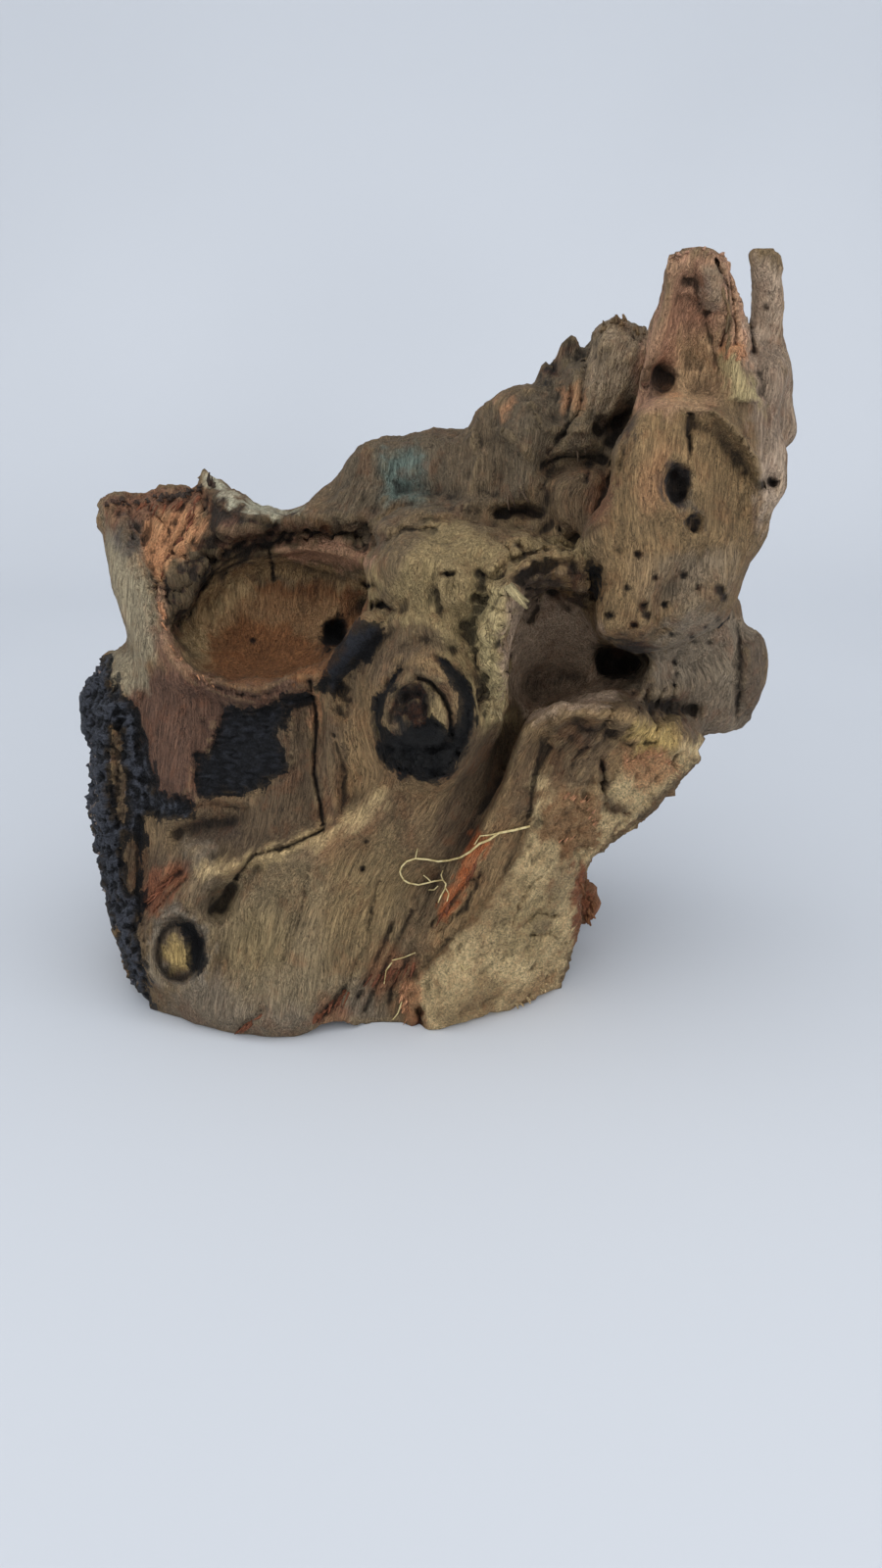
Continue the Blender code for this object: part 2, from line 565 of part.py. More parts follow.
def main():
    for obj in list(bpy.data.objects):
        bpy.data.objects.remove(obj)
    body = rough_body()
    cut_hollows(body)
    sculpt(body)
    thin_out(body, TRIANGLES)
    trim_base(body)
    body.data.transform(Matrix.Translation(-BASE_MIDDLE))
    body.data.transform(Matrix.Scale(MM, 4))
    body.data.materials.clear()
    body.data.materials.append(wood())
    return body


main()
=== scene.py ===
"""The look of a gnarled piece of driftwood: its weathered grain, knots, char, cracks, torn edges and rootlet.

Lines and outlines are given as the eye sees them from the front, in points of a sheet that is 900 wide and
1600 high. Each line is laid on the wood where the eye's rays meet it. The shaping is done in millimetres.
"""

import math
import random

import bpy
import numpy as np
from mathutils import Matrix, Vector, noise
from mathutils.bvhtree import BVHTree


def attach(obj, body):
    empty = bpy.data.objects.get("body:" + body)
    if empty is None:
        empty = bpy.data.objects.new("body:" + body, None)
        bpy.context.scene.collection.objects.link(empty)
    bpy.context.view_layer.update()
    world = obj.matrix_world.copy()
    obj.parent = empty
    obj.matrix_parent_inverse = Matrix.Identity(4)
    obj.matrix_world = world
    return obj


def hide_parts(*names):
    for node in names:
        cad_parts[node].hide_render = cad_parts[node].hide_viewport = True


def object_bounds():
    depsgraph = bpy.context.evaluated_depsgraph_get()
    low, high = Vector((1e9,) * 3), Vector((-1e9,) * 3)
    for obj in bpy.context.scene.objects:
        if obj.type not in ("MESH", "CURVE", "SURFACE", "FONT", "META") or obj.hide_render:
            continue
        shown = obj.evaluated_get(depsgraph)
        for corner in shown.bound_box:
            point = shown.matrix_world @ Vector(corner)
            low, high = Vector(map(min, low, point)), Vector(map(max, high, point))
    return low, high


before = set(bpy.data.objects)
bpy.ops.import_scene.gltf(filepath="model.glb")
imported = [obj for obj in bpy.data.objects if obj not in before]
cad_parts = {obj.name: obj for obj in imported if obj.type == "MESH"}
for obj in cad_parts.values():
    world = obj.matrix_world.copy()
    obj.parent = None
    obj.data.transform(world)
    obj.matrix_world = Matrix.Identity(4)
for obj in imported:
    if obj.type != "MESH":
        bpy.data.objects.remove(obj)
cad_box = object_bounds()

MM = 0.001

# The eye in the part's frame, and its sheet
EYE = Vector((4.58, -379.18, 217.0))
LOOK_DOWN = math.radians(22.0)
SHEET_MIDDLE = (450.0, 800.0)
SIGHT_LENGTH = 1200.0
SHEET_HEIGHT = 1600.0
LENS_FILM = 36.0

# Fineness of the wood's surface
ROUNDING_VOXEL = 1.4
ROUNDING_TURNS = 6
FINE_VOXEL = 0.85
WOOD_TRIANGLES = 180000
CRISP_TURNS = 24
CRISPNESS = 0.6

# What is kept of the surface's bends: name, how often it is averaged, unit in millimetres
BENDS = (("edge", 4, 0.20), ("hollow", 60, 1.3))

# Relief lines: sheet points, radius, rise towards the eye, steep side (0 none, 1 or -1 one side of the line)
RELIEF = (
    # great knot's cracks and the collar's folds
    (((425, 691), (440, 696), (451, 710), (459, 728), (461, 750)), 1.2, -2.0, 0),
    (((412, 712), (424, 704), (436, 712), (434, 730)), 2.0, -2.0, 0),
    # the long crack beside the black patch and the step that it turns into
    (((316, 695), (323, 727), (321, 789), (328, 826), (330, 847)), 1.2, -2.0, 0),
    (((330, 847), (294, 864), (257, 874), (240, 896)), 1.5, -1.8, 0),
    (((336, 700), (333, 760), (338, 800), (344, 838)), 4.0, 1.4, 1),
    (((206, 884), (241, 884), (273, 871), (313, 857), (346, 842), (388, 808)), 3.6, 1.6, 0),
    # boss: folds, notches and the bumps between them
    (((372, 596), (382, 598)), 2.0, -3.0, 0),
    (((380, 618), (392, 616), (398, 622)), 2.2, -3.2, 0),
    (((452, 586), (462, 585)), 1.5, -2.4, 0),
    (((400, 556), (424, 566), (444, 588), (448, 620)), 2.0, -0.6, 0),
    (((410, 548), (436, 556), (470, 566), (482, 590)), 1.8, 0.9, 0),
    (((384, 570), (400, 560), (426, 574)), 2.0, 0.8, 0),
    (((468, 590), (480, 604), (476, 626), (462, 640)), 1.8, 0.9, 0),
    (((392, 640), (420, 626), (452, 640), (474, 660)), 3.0, 1.5, 0),
    (((400, 666), (430, 652), (462, 664)), 2.4, -1.3, 0),
    (((490, 584), (496, 590)), 2.2, -2.4, 0),
    (((526, 556), (531, 560)), 2.2, -2.2, 0),
    (((478, 604), (488, 636), (478, 664)), 2.0, -0.8, 0),
    (((380, 548), (392, 520), (398, 500)), 3.0, 1.6, 0),
    (((396, 552), (412, 540), (440, 540)), 2.6, -1.5, 0),
    # arch over the cave
    (((528, 556), (530, 558)), 4.0, 2.0, 0), (((570, 541), (573, 542)), 3.6, 2.0, 0),
    (((500, 584), (518, 568), (545, 562), (571, 552), (592, 562)), 2.2, 1.6, 1),
    (((532, 592), (546, 582), (558, 578), (580, 574), (598, 590)), 2.8, -4.0, 0),
    (((588, 610), (594, 612)), 2.6, 2.4, 0), (((578, 606), (580, 608)), 1.8, 1.6, 0),
    (((500, 604), (486, 640), (482, 668)), 1.8, 1.4, 0), (((512, 630), (508, 680), (514, 716)), 1.8, 1.4, 1),
    # mask: brow ridge, crack, edge and cheek
    (((701, 418), (729, 421), (752, 443), (770, 469), (773, 496)), 2.8, 3.0, 1),
    (((708, 434), (728, 438), (744, 456), (758, 480)), 3.4, -2.0, 0),
    (((704, 422), (702, 440), (705, 458)), 0.9, -1.8, 0),
    (((646, 420), (631, 456), (627, 485), (622, 518), (602, 538)), 2.4, 1.6, 0),
    (((654, 416), (672, 409), (692, 412), (702, 420)), 2.4, 1.2, 0),
    (((640, 446), (640, 500), (632, 560)), 3.0, -1.0, 0),
    # horn: channel, split layers and pit
    (((711, 268), (712, 300), (722, 324), (727, 346), (731, 372)), 1.4, -1.0, -1),
    (((730, 266), (744, 296), (745, 322), (736, 352)), 1.2, -1.8, 0),
    (((745, 290), (750, 330), (752, 352)), 1.4, -2.4, 0),
    (((720, 318), (732, 317)), 1.2, -1.4, 0),
    (((660, 392), (668, 376), (680, 378), (688, 388)), 2.8, -1.6, 0),
    (((684, 300), (670, 352), (666, 372)), 2.4, 1.4, 0),
    (((758, 280), (762, 320), (770, 360)), 2.0, -2.0, 0),
    # ridge: folds of the old bark side
    (((478, 436), (486, 470), (480, 510)), 3.0, 1.4, 0),
    (((540, 412), (556, 440), (600, 440)), 3.0, 1.6, 1),
    (((598, 372), (592, 420), (570, 450)), 2.2, -2.0, 0),
    (((500, 430), (530, 450), (548, 470)), 3.0, 1.6, -1),
    (((644, 346), (636, 390), (612, 432)), 3.0, 1.8, 0),
    (((610, 440), (626, 430), (642, 424)), 3.2, -4.0, 0),
    (((556, 474), (572, 466), (600, 466), (622, 474)), 1.5, -2.6, 0),
    (((601, 472), (600, 484), (598, 492)), 0.9, -1.4, 0),
    (((392, 510), (430, 506), (470, 516), (504, 512)), 2.6, 1.6, 0),
    (((506, 524), (528, 520), (550, 526)), 2.6, -4.0, 0),
    # bowl: its broken shell, the ledge inside it and the torn rim
    (((275, 560), (277, 574), (279, 590)), 0.9, -1.6, 0),
    (((186, 632), (200, 611), (216, 590), (250, 573), (300, 571), (344, 583), (370, 590)), 1.6, 1.3, 0),
    (((196, 616), (226, 574), (262, 556), (300, 552), (372, 560)), 2.6, -2.4, 0),
    (((172, 656), (190, 682), (216, 696), (264, 706), (282, 696), (300, 688), (316, 692)), 1.6, 1.2, 0),
    (((180, 672), (204, 694), (232, 706), (258, 712)), 1.4, -1.6, 0),
    # leg: the crest between its two faces, the shelf and the torn hollows
    (((542, 836), (529, 872), (514, 898), (484, 940), (442, 982), (414, 1010)), 2.2, 1.5, 1),
    (((567, 722), (536, 744), (524, 772), (515, 808), (494, 846)), 2.2, 1.8, 0),
    (((560, 762), (545, 792), (540, 832)), 1.6, -1.8, 0),
    (((586, 740), (616, 744), (640, 752)), 2.4, -1.6, 0),
    (((624, 726), (616, 744), (640, 760), (668, 758)), 1.6, -2.2, 0),
    (((612, 800), (618, 824), (640, 830)), 1.8, -2.6, 0),
    (((614, 780), (616, 796)), 1.2, -2.4, 0),
    (((536, 940), (548, 930), (566, 934)), 1.6, -2.0, 0),
    (((540, 954), (560, 952), (576, 962)), 1.4, -1.8, 0),
    (((480, 896), (464, 920), (440, 944)), 2.0, -2.0, 0),
    (((428, 1030), (430, 1044), (426, 1052)), 2.6, -4.0, 0),
    (((424, 974), (408, 1000), (404, 1010)), 1.6, 2.2, 0),
    # belly: old fibre lines and torn patches near the foot
    (((420, 930), (396, 980), (372, 1030)), 1.4, -1.3, 0),
    (((398, 950), (380, 990), (366, 1016)), 2.0, -1.6, 0),
    (((312, 910), (302, 950), (290, 980)), 1.2, -1.0, 0),
    (((324, 1040), (340, 1024), (350, 1012)), 2.6, -2.4, 0),
    (((246, 1050), (266, 1032)), 1.8, -1.8, 0),
    (((150, 924), (164, 906), (184, 890)), 2.0, -2.0, 0),
    (((158, 930), (174, 912), (190, 898)), 1.2, -1.6, 0),
    (((182, 852), (206, 842), (238, 838)), 3.0, -1.6, 0),
    (((226, 926), (238, 906)), 3.0, -2.6, 0),
    (((340, 720), (352, 730), (356, 716)), 2.4, -2.4, 0),
    # side lobe: filaments that run down to the shelf
    (((664, 700), (652, 722), (640, 744)), 1.2, -1.4, 0),
    (((676, 704), (662, 730), (650, 750)), 1.2, -1.4, 0),
    (((688, 700), (680, 726), (668, 746)), 1.2, -1.4, 0),
    (((752, 636), (756, 676), (750, 730)), 2.4, -1.0, 0),
    (((660, 716), (684, 724), (706, 724)), 3.4, -3.0, 0),
)

# Pulls at the surface: sheet place, shift on the sheet, reach in millimetres, sharpness of the tip
PULLS = (
    ((212, 494), (-3, -16), 4.0, 1.6), ((206, 500), (0, -4), 5.0, 1.0), ((150, 506), (0, 6), 9.0, 1.0),
    ((180, 503), (0, 5), 6.0, 1.0), ((296, 521), (0, 7), 9.0, 1.0), ((262, 514), (-2, 5), 7.0, 1.0),
    ((335, 498), (7, 7), 8.0, 1.0), ((108, 516), (-3, -2), 3.0, 1.5),
    ((288, 514), (0, 8), 8.0, 1.0), ((262, 508), (0, 8), 8.0, 1.0), ((240, 498), (-1, 5), 6.0, 1.0),
    ((130, 507), (0, 4), 3.4, 1.0), ((144, 506), (0, -3), 2.6, 1.0), ((158, 505), (0, 4), 3.0, 1.0),
    ((172, 502), (0, -3), 2.6, 1.0), ((190, 502), (0, 5), 3.4, 1.0), ((118, 508), (0, -3), 2.6, 1.0),
    ((806, 420), (-10, 0), 13.0, 1.0), ((799, 340), (-5, 0), 10.0, 1.0), ((804, 470), (-8, 0), 12.0, 1.0),
    ((795, 275), (-3, 0), 8.0, 1.0), ((795, 524), (-5, -2), 9.0, 1.0), ((776, 262), (-5, 0), 4.0, 1.0),
    ((114, 773), (13, 0), 3.6, 1.0), ((90, 716), (-6, 4), 5.0, 1.0), ((88, 744), (-5, 2), 4.6, 1.0),
    ((100, 696), (5, 2), 3.0, 1.2), ((104, 786), (-6, 2), 5.0, 1.0),
    ((104, 826), (-4, 0), 3.4, 1.0), ((108, 850), (4, 0), 3.0, 1.2), ((112, 880), (-3, 3), 5.0, 1.0),
    ((120, 908), (4, 0), 2.6, 1.2), ((130, 960), (-4, 2), 5.0, 1.0),
    ((156, 1026), (-3, 3), 3.6, 1.0), ((146, 1000), (4, -2), 3.0, 1.2), ((106, 668), (-5, -3), 4.0, 1.0),
    ((688, 264), (-4, -3), 3.0, 1.4), ((628, 332), (2, -9), 4.5, 1.3), ((612, 338), (0, 9), 3.0, 1.0),
    ((643, 338), (0, 10), 2.4, 1.0), ((650, 344), (0, 8), 2.4, 1.0), ((658, 342), (0, -9), 2.6, 1.2),
    ((582, 360), (2, -13), 4.6, 1.0), ((556, 388), (-1, -18), 4.6, 1.0), ((548, 392), (-6, 4), 3.0, 1.0),
    ((571, 378), (0, 13), 3.4, 1.0), ((602, 360), (0, 12), 3.4, 1.0), ((536, 404), (0, 6), 4.0, 1.0),
    ((806, 446), (-6, 0), 8.0, 1.0), ((810, 460), (-5, 0), 8.0, 1.0), ((700, 256), (0, 3), 2.4, 1.2),
    ((722, 254), (0, -3), 2.4, 1.2), ((737, 254), (0, 4), 2.4, 1.2), ((770, 258), (-3, 0), 2.6, 1.0),
    ((796, 260), (-3, 8), 3.6, 1.0), ((612, 866), (4, 3), 3.0, 1.3), ((628, 850), (-4, -2), 2.8, 1.3),
    ((645, 842), (5, 3), 3.0, 1.3), ((662, 820), (-3, -3), 2.8, 1.3), ((680, 806), (5, 3), 3.0, 1.3),
    ((694, 792), (-3, -2), 2.6, 1.3), ((708, 774), (5, 2), 3.0, 1.3), ((584, 960), (4, 0), 3.4, 1.3),
    ((576, 986), (-4, -2), 2.8, 1.3), ((570, 1006), (4, 3), 3.2, 1.3), ((548, 1022), (-2, -4), 2.8, 1.3),
    ((520, 1034), (2, 4), 3.2, 1.3), ((502, 1044), (0, -4), 2.8, 1.3), ((600, 884), (-5, -3), 4.0, 1.0),
    ((714, 756), (6, -2), 3.4, 1.3), ((760, 640), (-5, -4), 3.4, 1.0), ((780, 668), (4, 0), 4.0, 1.0),
)

# Flat steps in the surface: rise in millimetres, softness of the edge on the sheet, outline
PLATES = (
    (-4.2, 8, ((154, 600), (166, 646), (188, 634), (208, 600), (220, 566), (198, 566), (174, 582))),
    (-3.2, 7, ((164, 606), (176, 640), (187, 630), (202, 606), (250, 572), (275, 558), (300, 552), (376, 552),
               (372, 540), (300, 538), (262, 544), (226, 560), (196, 590))),
    (0.8, 3, ((277, 562), (300, 553), (376, 552), (374, 586), (345, 580), (325, 572), (300, 570),
              (278, 574))),
    (1.2, 3, ((203, 482), (222, 490), (250, 515), (300, 524), (340, 530), (300, 534), (250, 530),
              (215, 512))),
    (-1.4, 6, ((320, 694), (344, 692), (358, 702), (350, 730), (330, 738))),
    (0.5, 3, ((139, 711), (152, 762), (163, 802), (184, 815), (195, 810), (198, 794), (195, 767), (211, 764),
              (225, 740), (227, 722), (206, 708), (174, 687), (147, 700))),
    (-0.6, 3, ((227, 724), (268, 720), (313, 703), (321, 716), (300, 730), (292, 748), (302, 786), (276, 807),
               (246, 815), (198, 810), (198, 767), (212, 764))),
    (-1.4, 5, ((148, 700), (150, 762), (163, 806), (196, 818), (196, 832), (150, 834), (142, 780),
               (134, 730))),
    (-1.6, 5, ((384, 738), (392, 778), (432, 797), (454, 790), (474, 758), (474, 746), (448, 762),
               (414, 762))),
    (-2.2, 4, ((410, 708), (430, 706), (437, 722), (424, 736), (410, 728))),
    (-2.4, 6, ((608, 426), (644, 420), (640, 460), (622, 520), (604, 536), (612, 500), (632, 466),
               (610, 448))),
    (0.9, 3, ((562, 500), (575, 474), (610, 468), (626, 490), (620, 526), (596, 546), (568, 532))),
    (-1.6, 4, ((504, 522), (540, 514), (552, 522), (548, 528), (506, 528))),
    (-3.2, 4, ((596, 576), (614, 578), (612, 612), (602, 612))),
    (-3.0, 4, ((528, 604), (548, 596), (552, 622), (540, 640), (528, 632))),
    (0.7, 3, ((484, 600), (504, 606), (524, 618), (544, 633), (518, 634), (504, 654), (516, 680), (508, 706),
              (518, 722), (500, 740), (492, 716), (498, 690), (484, 662), (490, 632))),
    (-1.6, 4, ((654, 378), (668, 372), (678, 380), (690, 384), (690, 400), (672, 404), (656, 398))),
    (1.0, 3, ((740, 354), (756, 360), (763, 387), (779, 413), (745, 408), (736, 374))),
    (0.5, 2, ((716, 272), (732, 276), (736, 318), (720, 318))),
    (-0.9, 4, ((684, 300), (712, 302), (728, 345), (716, 378), (668, 374), (682, 342))),
    (0.6, 3, ((640, 424), (702, 420), (703, 456), (690, 500), (640, 560), (620, 560), (632, 500))),
    (-0.9, 4, ((676, 478), (692, 470), (704, 482), (704, 508), (692, 518), (678, 508))),
    (0.7, 4, ((572, 724), (622, 726), (650, 738), (610, 742), (580, 748), (560, 786), (546, 790))),
    (-0.8, 5, ((584, 744), (612, 744), (604, 800), (560, 806), (562, 776))),
    (-1.2, 4, ((615, 802), (640, 812), (622, 834), (612, 822))),
    (0.7, 3, ((446, 980), (484, 942), (514, 900), (530, 876), (560, 880), (520, 960), (470, 1010),
              (430, 1030))),
    (-1.0, 4, ((470, 880), (480, 890), (452, 940), (438, 950), (446, 920))),
    (-0.9, 4, ((213, 906), (239, 904), (237, 930), (215, 932))),
    (0.8, 3, ((170, 968), (176, 954), (188, 954), (196, 968), (188, 986), (176, 986))),
)

# Creases: half width on the sheet, depth in millimetres, sheet points
CREASES = (
    (7, 2.0, ((408, 684), (392, 702), (384, 730))),
    (9, 2.4, ((446, 670), (468, 688), (480, 712), (478, 750))),
    (4, 1.6, ((500, 546), (520, 560), (526, 584))), (4, 1.8, ((540, 562), (548, 580), (540, 596))),
    (4, 1.6, ((586, 566), (584, 584), (592, 600))), (4, 1.4, ((556, 556), (566, 566), (578, 562))),
    (5, 1.8, ((520, 600), (516, 640), (520, 690))), (4, 1.6, ((496, 600), (504, 622), (526, 628))),
    (4, 1.4, ((484, 664), (496, 690), (490, 716))), (3.4, 1.4, ((424, 742), (440, 736), (452, 742))),
    (3.4, 2.2, ((425, 691), (440, 696), (451, 710), (459, 728), (461, 752))),
    (4, 1.6, ((398, 736), (406, 706), (426, 694))),
    (3, 1.8, ((316, 695), (323, 727), (321, 789), (328, 826), (330, 847))),
    (3, 1.6, ((330, 847), (294, 864), (257, 874), (240, 896))),
    (4, 1.4, ((240, 896), (226, 916), (214, 930))),
    (5, 1.6, ((150, 962), (164, 934), (184, 924), (206, 940), (214, 970), (204, 1000))),
    (3.4, 1.6, ((275, 558), (277, 574), (279, 592))), (3.4, 1.8, ((703, 420), (701, 440), (704, 462))),
    (3, 1.0, ((704, 462), (700, 480))), (3.4, 1.4, ((601, 473), (600, 484), (598, 492))),
    (3, 1.8, ((730, 266), (744, 296), (745, 322), (736, 352))),
    (5, 2.6, ((757, 280), (761, 316), (768, 360))),
    (3.4, 1.6, ((745, 292), (750, 330), (748, 352))), (3, 1.2, ((718, 319), (736, 318))),
    (3, 0.8, ((568, 724), (552, 748), (548, 790))), (4, 1.6, ((600, 762), (584, 776), (586, 800))),
    (4, 1.8, ((612, 776), (616, 800))), (3, 1.1, ((536, 942), (548, 931), (566, 935))),
    (3, 1.0, ((540, 955), (560, 952), (576, 963))), (4, 1.2, ((536, 990), (560, 984), (574, 975))),
    (5, 2.0, ((490, 892), (470, 930), (446, 950))), (4, 1.6, ((560, 880), (530, 920), (524, 940))),
    (5, 2.0, ((424, 974), (404, 1000), (396, 1020))), (4, 1.4, ((400, 940), (376, 990), (360, 1030))),
    (4, 1.2, ((384, 900), (376, 960), (350, 1010))), (3, 0.9, ((300, 930), (296, 950), (286, 980))),
    (4, 1.8, ((560, 470), (584, 462), (610, 464), (628, 474))),
    (4, 1.6, ((552, 500), (560, 484), (572, 468))),
    (4, 1.6, ((396, 552), (412, 540), (440, 540))),
    (3, 1.0, ((446, 604), (452, 640), (476, 650))), (3, 1.0, ((470, 640), (486, 636), (500, 642))),
    (4, 1.6, ((486, 612), (500, 606), (512, 608))), (4, 1.4, ((498, 640), (506, 660), (500, 690))),
    (4, 1.8, ((380, 618), (392, 616), (400, 622))), (4, 1.4, ((430, 530), (470, 530), (500, 540))),
    (3, 0.9, ((752, 634), (756, 676), (752, 736))), (3, 1.2, ((664, 700), (650, 724), (642, 744))),
    (3, 1.2, ((678, 702), (664, 728), (652, 752))), (3, 1.2, ((690, 700), (682, 726), (670, 748))),
    (3, 1.0, ((650, 700), (640, 716), (620, 724))), (4, 1.4, ((668, 630), (690, 650), (740, 660))),
    (5, 2.0, ((584, 396), (578, 436), (560, 460))), (5, 2.0, ((600, 372), (592, 420), (572, 452))),
    (4, 1.4, ((616, 350), (612, 390), (600, 430))), (4, 1.4, ((640, 350), (634, 390), (612, 428))),
    (4, 1.2, ((740, 270), (744, 284))), (3.4, 1.4, ((690, 262), (694, 280), (708, 290))),
    (3, 0.7, ((786, 300), (788, 340), (784, 360))), (4, 1.0, ((776, 380), (784, 430), (778, 470))),
    (4, 1.4, ((130, 540), (138, 580), (152, 616), (162, 652))),
    (4, 1.4, ((150, 516), (172, 540), (176, 570))),
    (4, 1.4, ((178, 668), (196, 688), (220, 700), (262, 710), (300, 700))),
    (3.4, 1.2, ((196, 530), (180, 552), (164, 590))), (3.4, 1.4, ((206, 500), (208, 530), (196, 556))),
    (4, 1.4, ((116, 700), (120, 760), (118, 830), (124, 900))),
    (4, 1.4, ((142, 836), (140, 900), (150, 980))),
    (5, 1.4, ((340, 750), (352, 790), (348, 836))), (4, 1.2, ((186, 826), (216, 820), (252, 826))),
)

# Small pits and worm holes: middle, radius on the sheet, depth
PITS = (
    ((651, 566), 5, 1.8), ((656, 619), 6, 2.2), ((660, 628), 5, 2.0), ((647, 637), 5, 2.0),
    ((622, 628), 5, 2.0),
    ((622, 651), 4, 1.6), ((678, 618), 4, 1.4), ((734, 602), 7, 2.4), ((738, 610), 5, 1.8),
    ((712, 600), 4, 1.2),
    ((697, 588), 3.5, 1.2), ((668, 590), 4, 1.3), ((640, 600), 4, 1.2), ((370, 886), 4, 2.0),
    ((374, 858), 3, 1.2),
    ((258, 654), 4, 1.4), ((788, 492), 6, 3.4), ((776, 495), 6, 3.0), ((571, 541), 4, 2.0),
    ((688, 676), 3, 1.2),
    ((690, 688), 3, 1.2), ((688, 700), 3, 1.2), ((720, 640), 3, 1.2), ((732, 632), 3, 1.2),
    ((706, 650), 3, 1.2),
    ((529, 557), 4.5, 2.4), ((457, 586), 3.5, 2.0), ((493, 587), 3.5, 2.0), ((388, 618), 4, 2.4),
    ((376, 598), 3, 2.2), ((686, 484), 6, 1.6), ((697, 506), 6, 1.6), ((708, 541), 4, 1.2),
    ((782, 314), 3.5, 1.2),
)

# Turned knots: middle, half width, half height, and (share of the radius, rise) from the middle out
RINGED = (
    ((432, 736), 52, 64, ((0, -0.8), (0.3, -0.6), (0.5, 0.1), (0.72, 0.3), (0.85, -0.8), (1.0, 0.8),
                          (1.3, 0.0))),
    ((182, 972), 24, 31, ((0, 0.1), (0.4, 0.4), (0.7, 0.0), (0.9, -0.9), (1.15, 0.7), (1.5, 0.0))),
    ((779, 521), 11, 15, ((0, 0.8), (0.35, -0.4), (0.6, 0.8), (0.85, -0.8), (1.2, 0.0))),
    ((463, 597), 14, 20, ((0, -0.6), (0.3, 0.5), (0.5, -0.5), (0.75, 0.7), (1.2, 0.0))),
    ((709, 534), 11, 11, ((0, -0.4), (0.5, 0.3), (0.8, -0.6), (1.0, 0.7), (1.4, 0.0))),
    ((566, 594), 12, 14, ((0, -2.6), (0.45, -2.0), (0.7, 0.8), (1.0, 0.9), (1.4, 0.0))),
    ((432, 515), 12, 13, ((0, 0.8), (0.6, 0.5), (0.9, -0.4), (1.2, 0.0))),
    ((203, 874), 15, 15, ((0, 0.9), (0.6, 0.5), (0.9, -0.5), (1.2, 0.0))),
)

# Where the surface is broken: outline, kind, height in millimetres
BROKEN = (
    (((500, 575), (530, 545), (562, 532), (600, 548), (616, 580), (604, 618), (560, 614), (540, 606),
      (520, 624), (514, 680), (516, 736), (490, 746), (480, 690), (484, 636), (478, 600)), "craggy", 1.5),
    (((372, 566), (400, 520), (470, 512), (540, 512), (560, 540), (500, 600), (480, 660), (430, 660),
      (384, 640)), "craggy", 0.7),
    (((336, 520), (346, 487), (370, 450), (450, 434), (549, 388), (600, 334), (664, 330), (620, 440),
      (560, 474), (536, 512), (400, 514)), "craggy", 0.8),
    (((640, 640), (700, 620), (780, 640), (780, 745), (716, 752), (640, 740)), "craggy", 0.6),
    (((560, 726), (622, 724), (700, 730), (712, 770), (612, 800), (552, 806)), "craggy", 0.9),
    (((88, 486), (165, 476), (205, 470), (222, 500), (214, 552), (184, 582), (158, 606), (140, 560),
      (100, 540)), "torn", 1.7),
    (((212, 550), (262, 528), (300, 524), (392, 524), (406, 548), (376, 566), (300, 552), (262, 556),
      (220, 580)), "torn", 2.2),
    (((150, 600), (176, 570), (214, 560), (232, 566), (206, 590), (190, 630), (172, 646)), "torn", 2.6),
    (((480, 596), (512, 604), (544, 633), (516, 640), (520, 720), (498, 742), (486, 700), (488, 640)),
     "craggy", 1.0),
    (((764, 244), (812, 244), (806, 280), (768, 282)), "torn", 0.8),
    (((676, 252), (760, 250), (756, 300), (740, 296), (720, 280), (680, 282)), "torn", 1.0),
    (((716, 300), (764, 290), (768, 356), (740, 368), (722, 340)), "torn", 0.9),
    (((545, 340), (600, 338), (666, 310), (668, 360), (600, 392), (550, 400)), "torn", 0.8),
    (((78, 664), (112, 666), (128, 740), (128, 860), (146, 980), (160, 1040), (130, 1000), (90, 860)),
     "burnt", 2.4),
    (((112, 686), (142, 724), (162, 796), (198, 806), (192, 836), (136, 836), (124, 780)), "burnt", 1.2),
    (((200, 726), (320, 704), (304, 786), (250, 818), (196, 810)), "fissured", 0.9),
    (((386, 756), (420, 764), (470, 750), (478, 770), (450, 798), (400, 790)), "burnt", 2.0),
    (((544, 838), (514, 898), (442, 982), (412, 1016), (424, 1086), (500, 1080), (594, 1020), (612, 890),
      (740, 780), (690, 760), (610, 790)), "grainy", 1.0),
    (((556, 806), (612, 800), (612, 860), (570, 880), (548, 850)), "grainy", 0.9),
    (((630, 764), (690, 756), (700, 780), (650, 806)), "grainy", 0.9),
    (((580, 884), (620, 890), (616, 940), (580, 965)), "torn", 1.0),
)

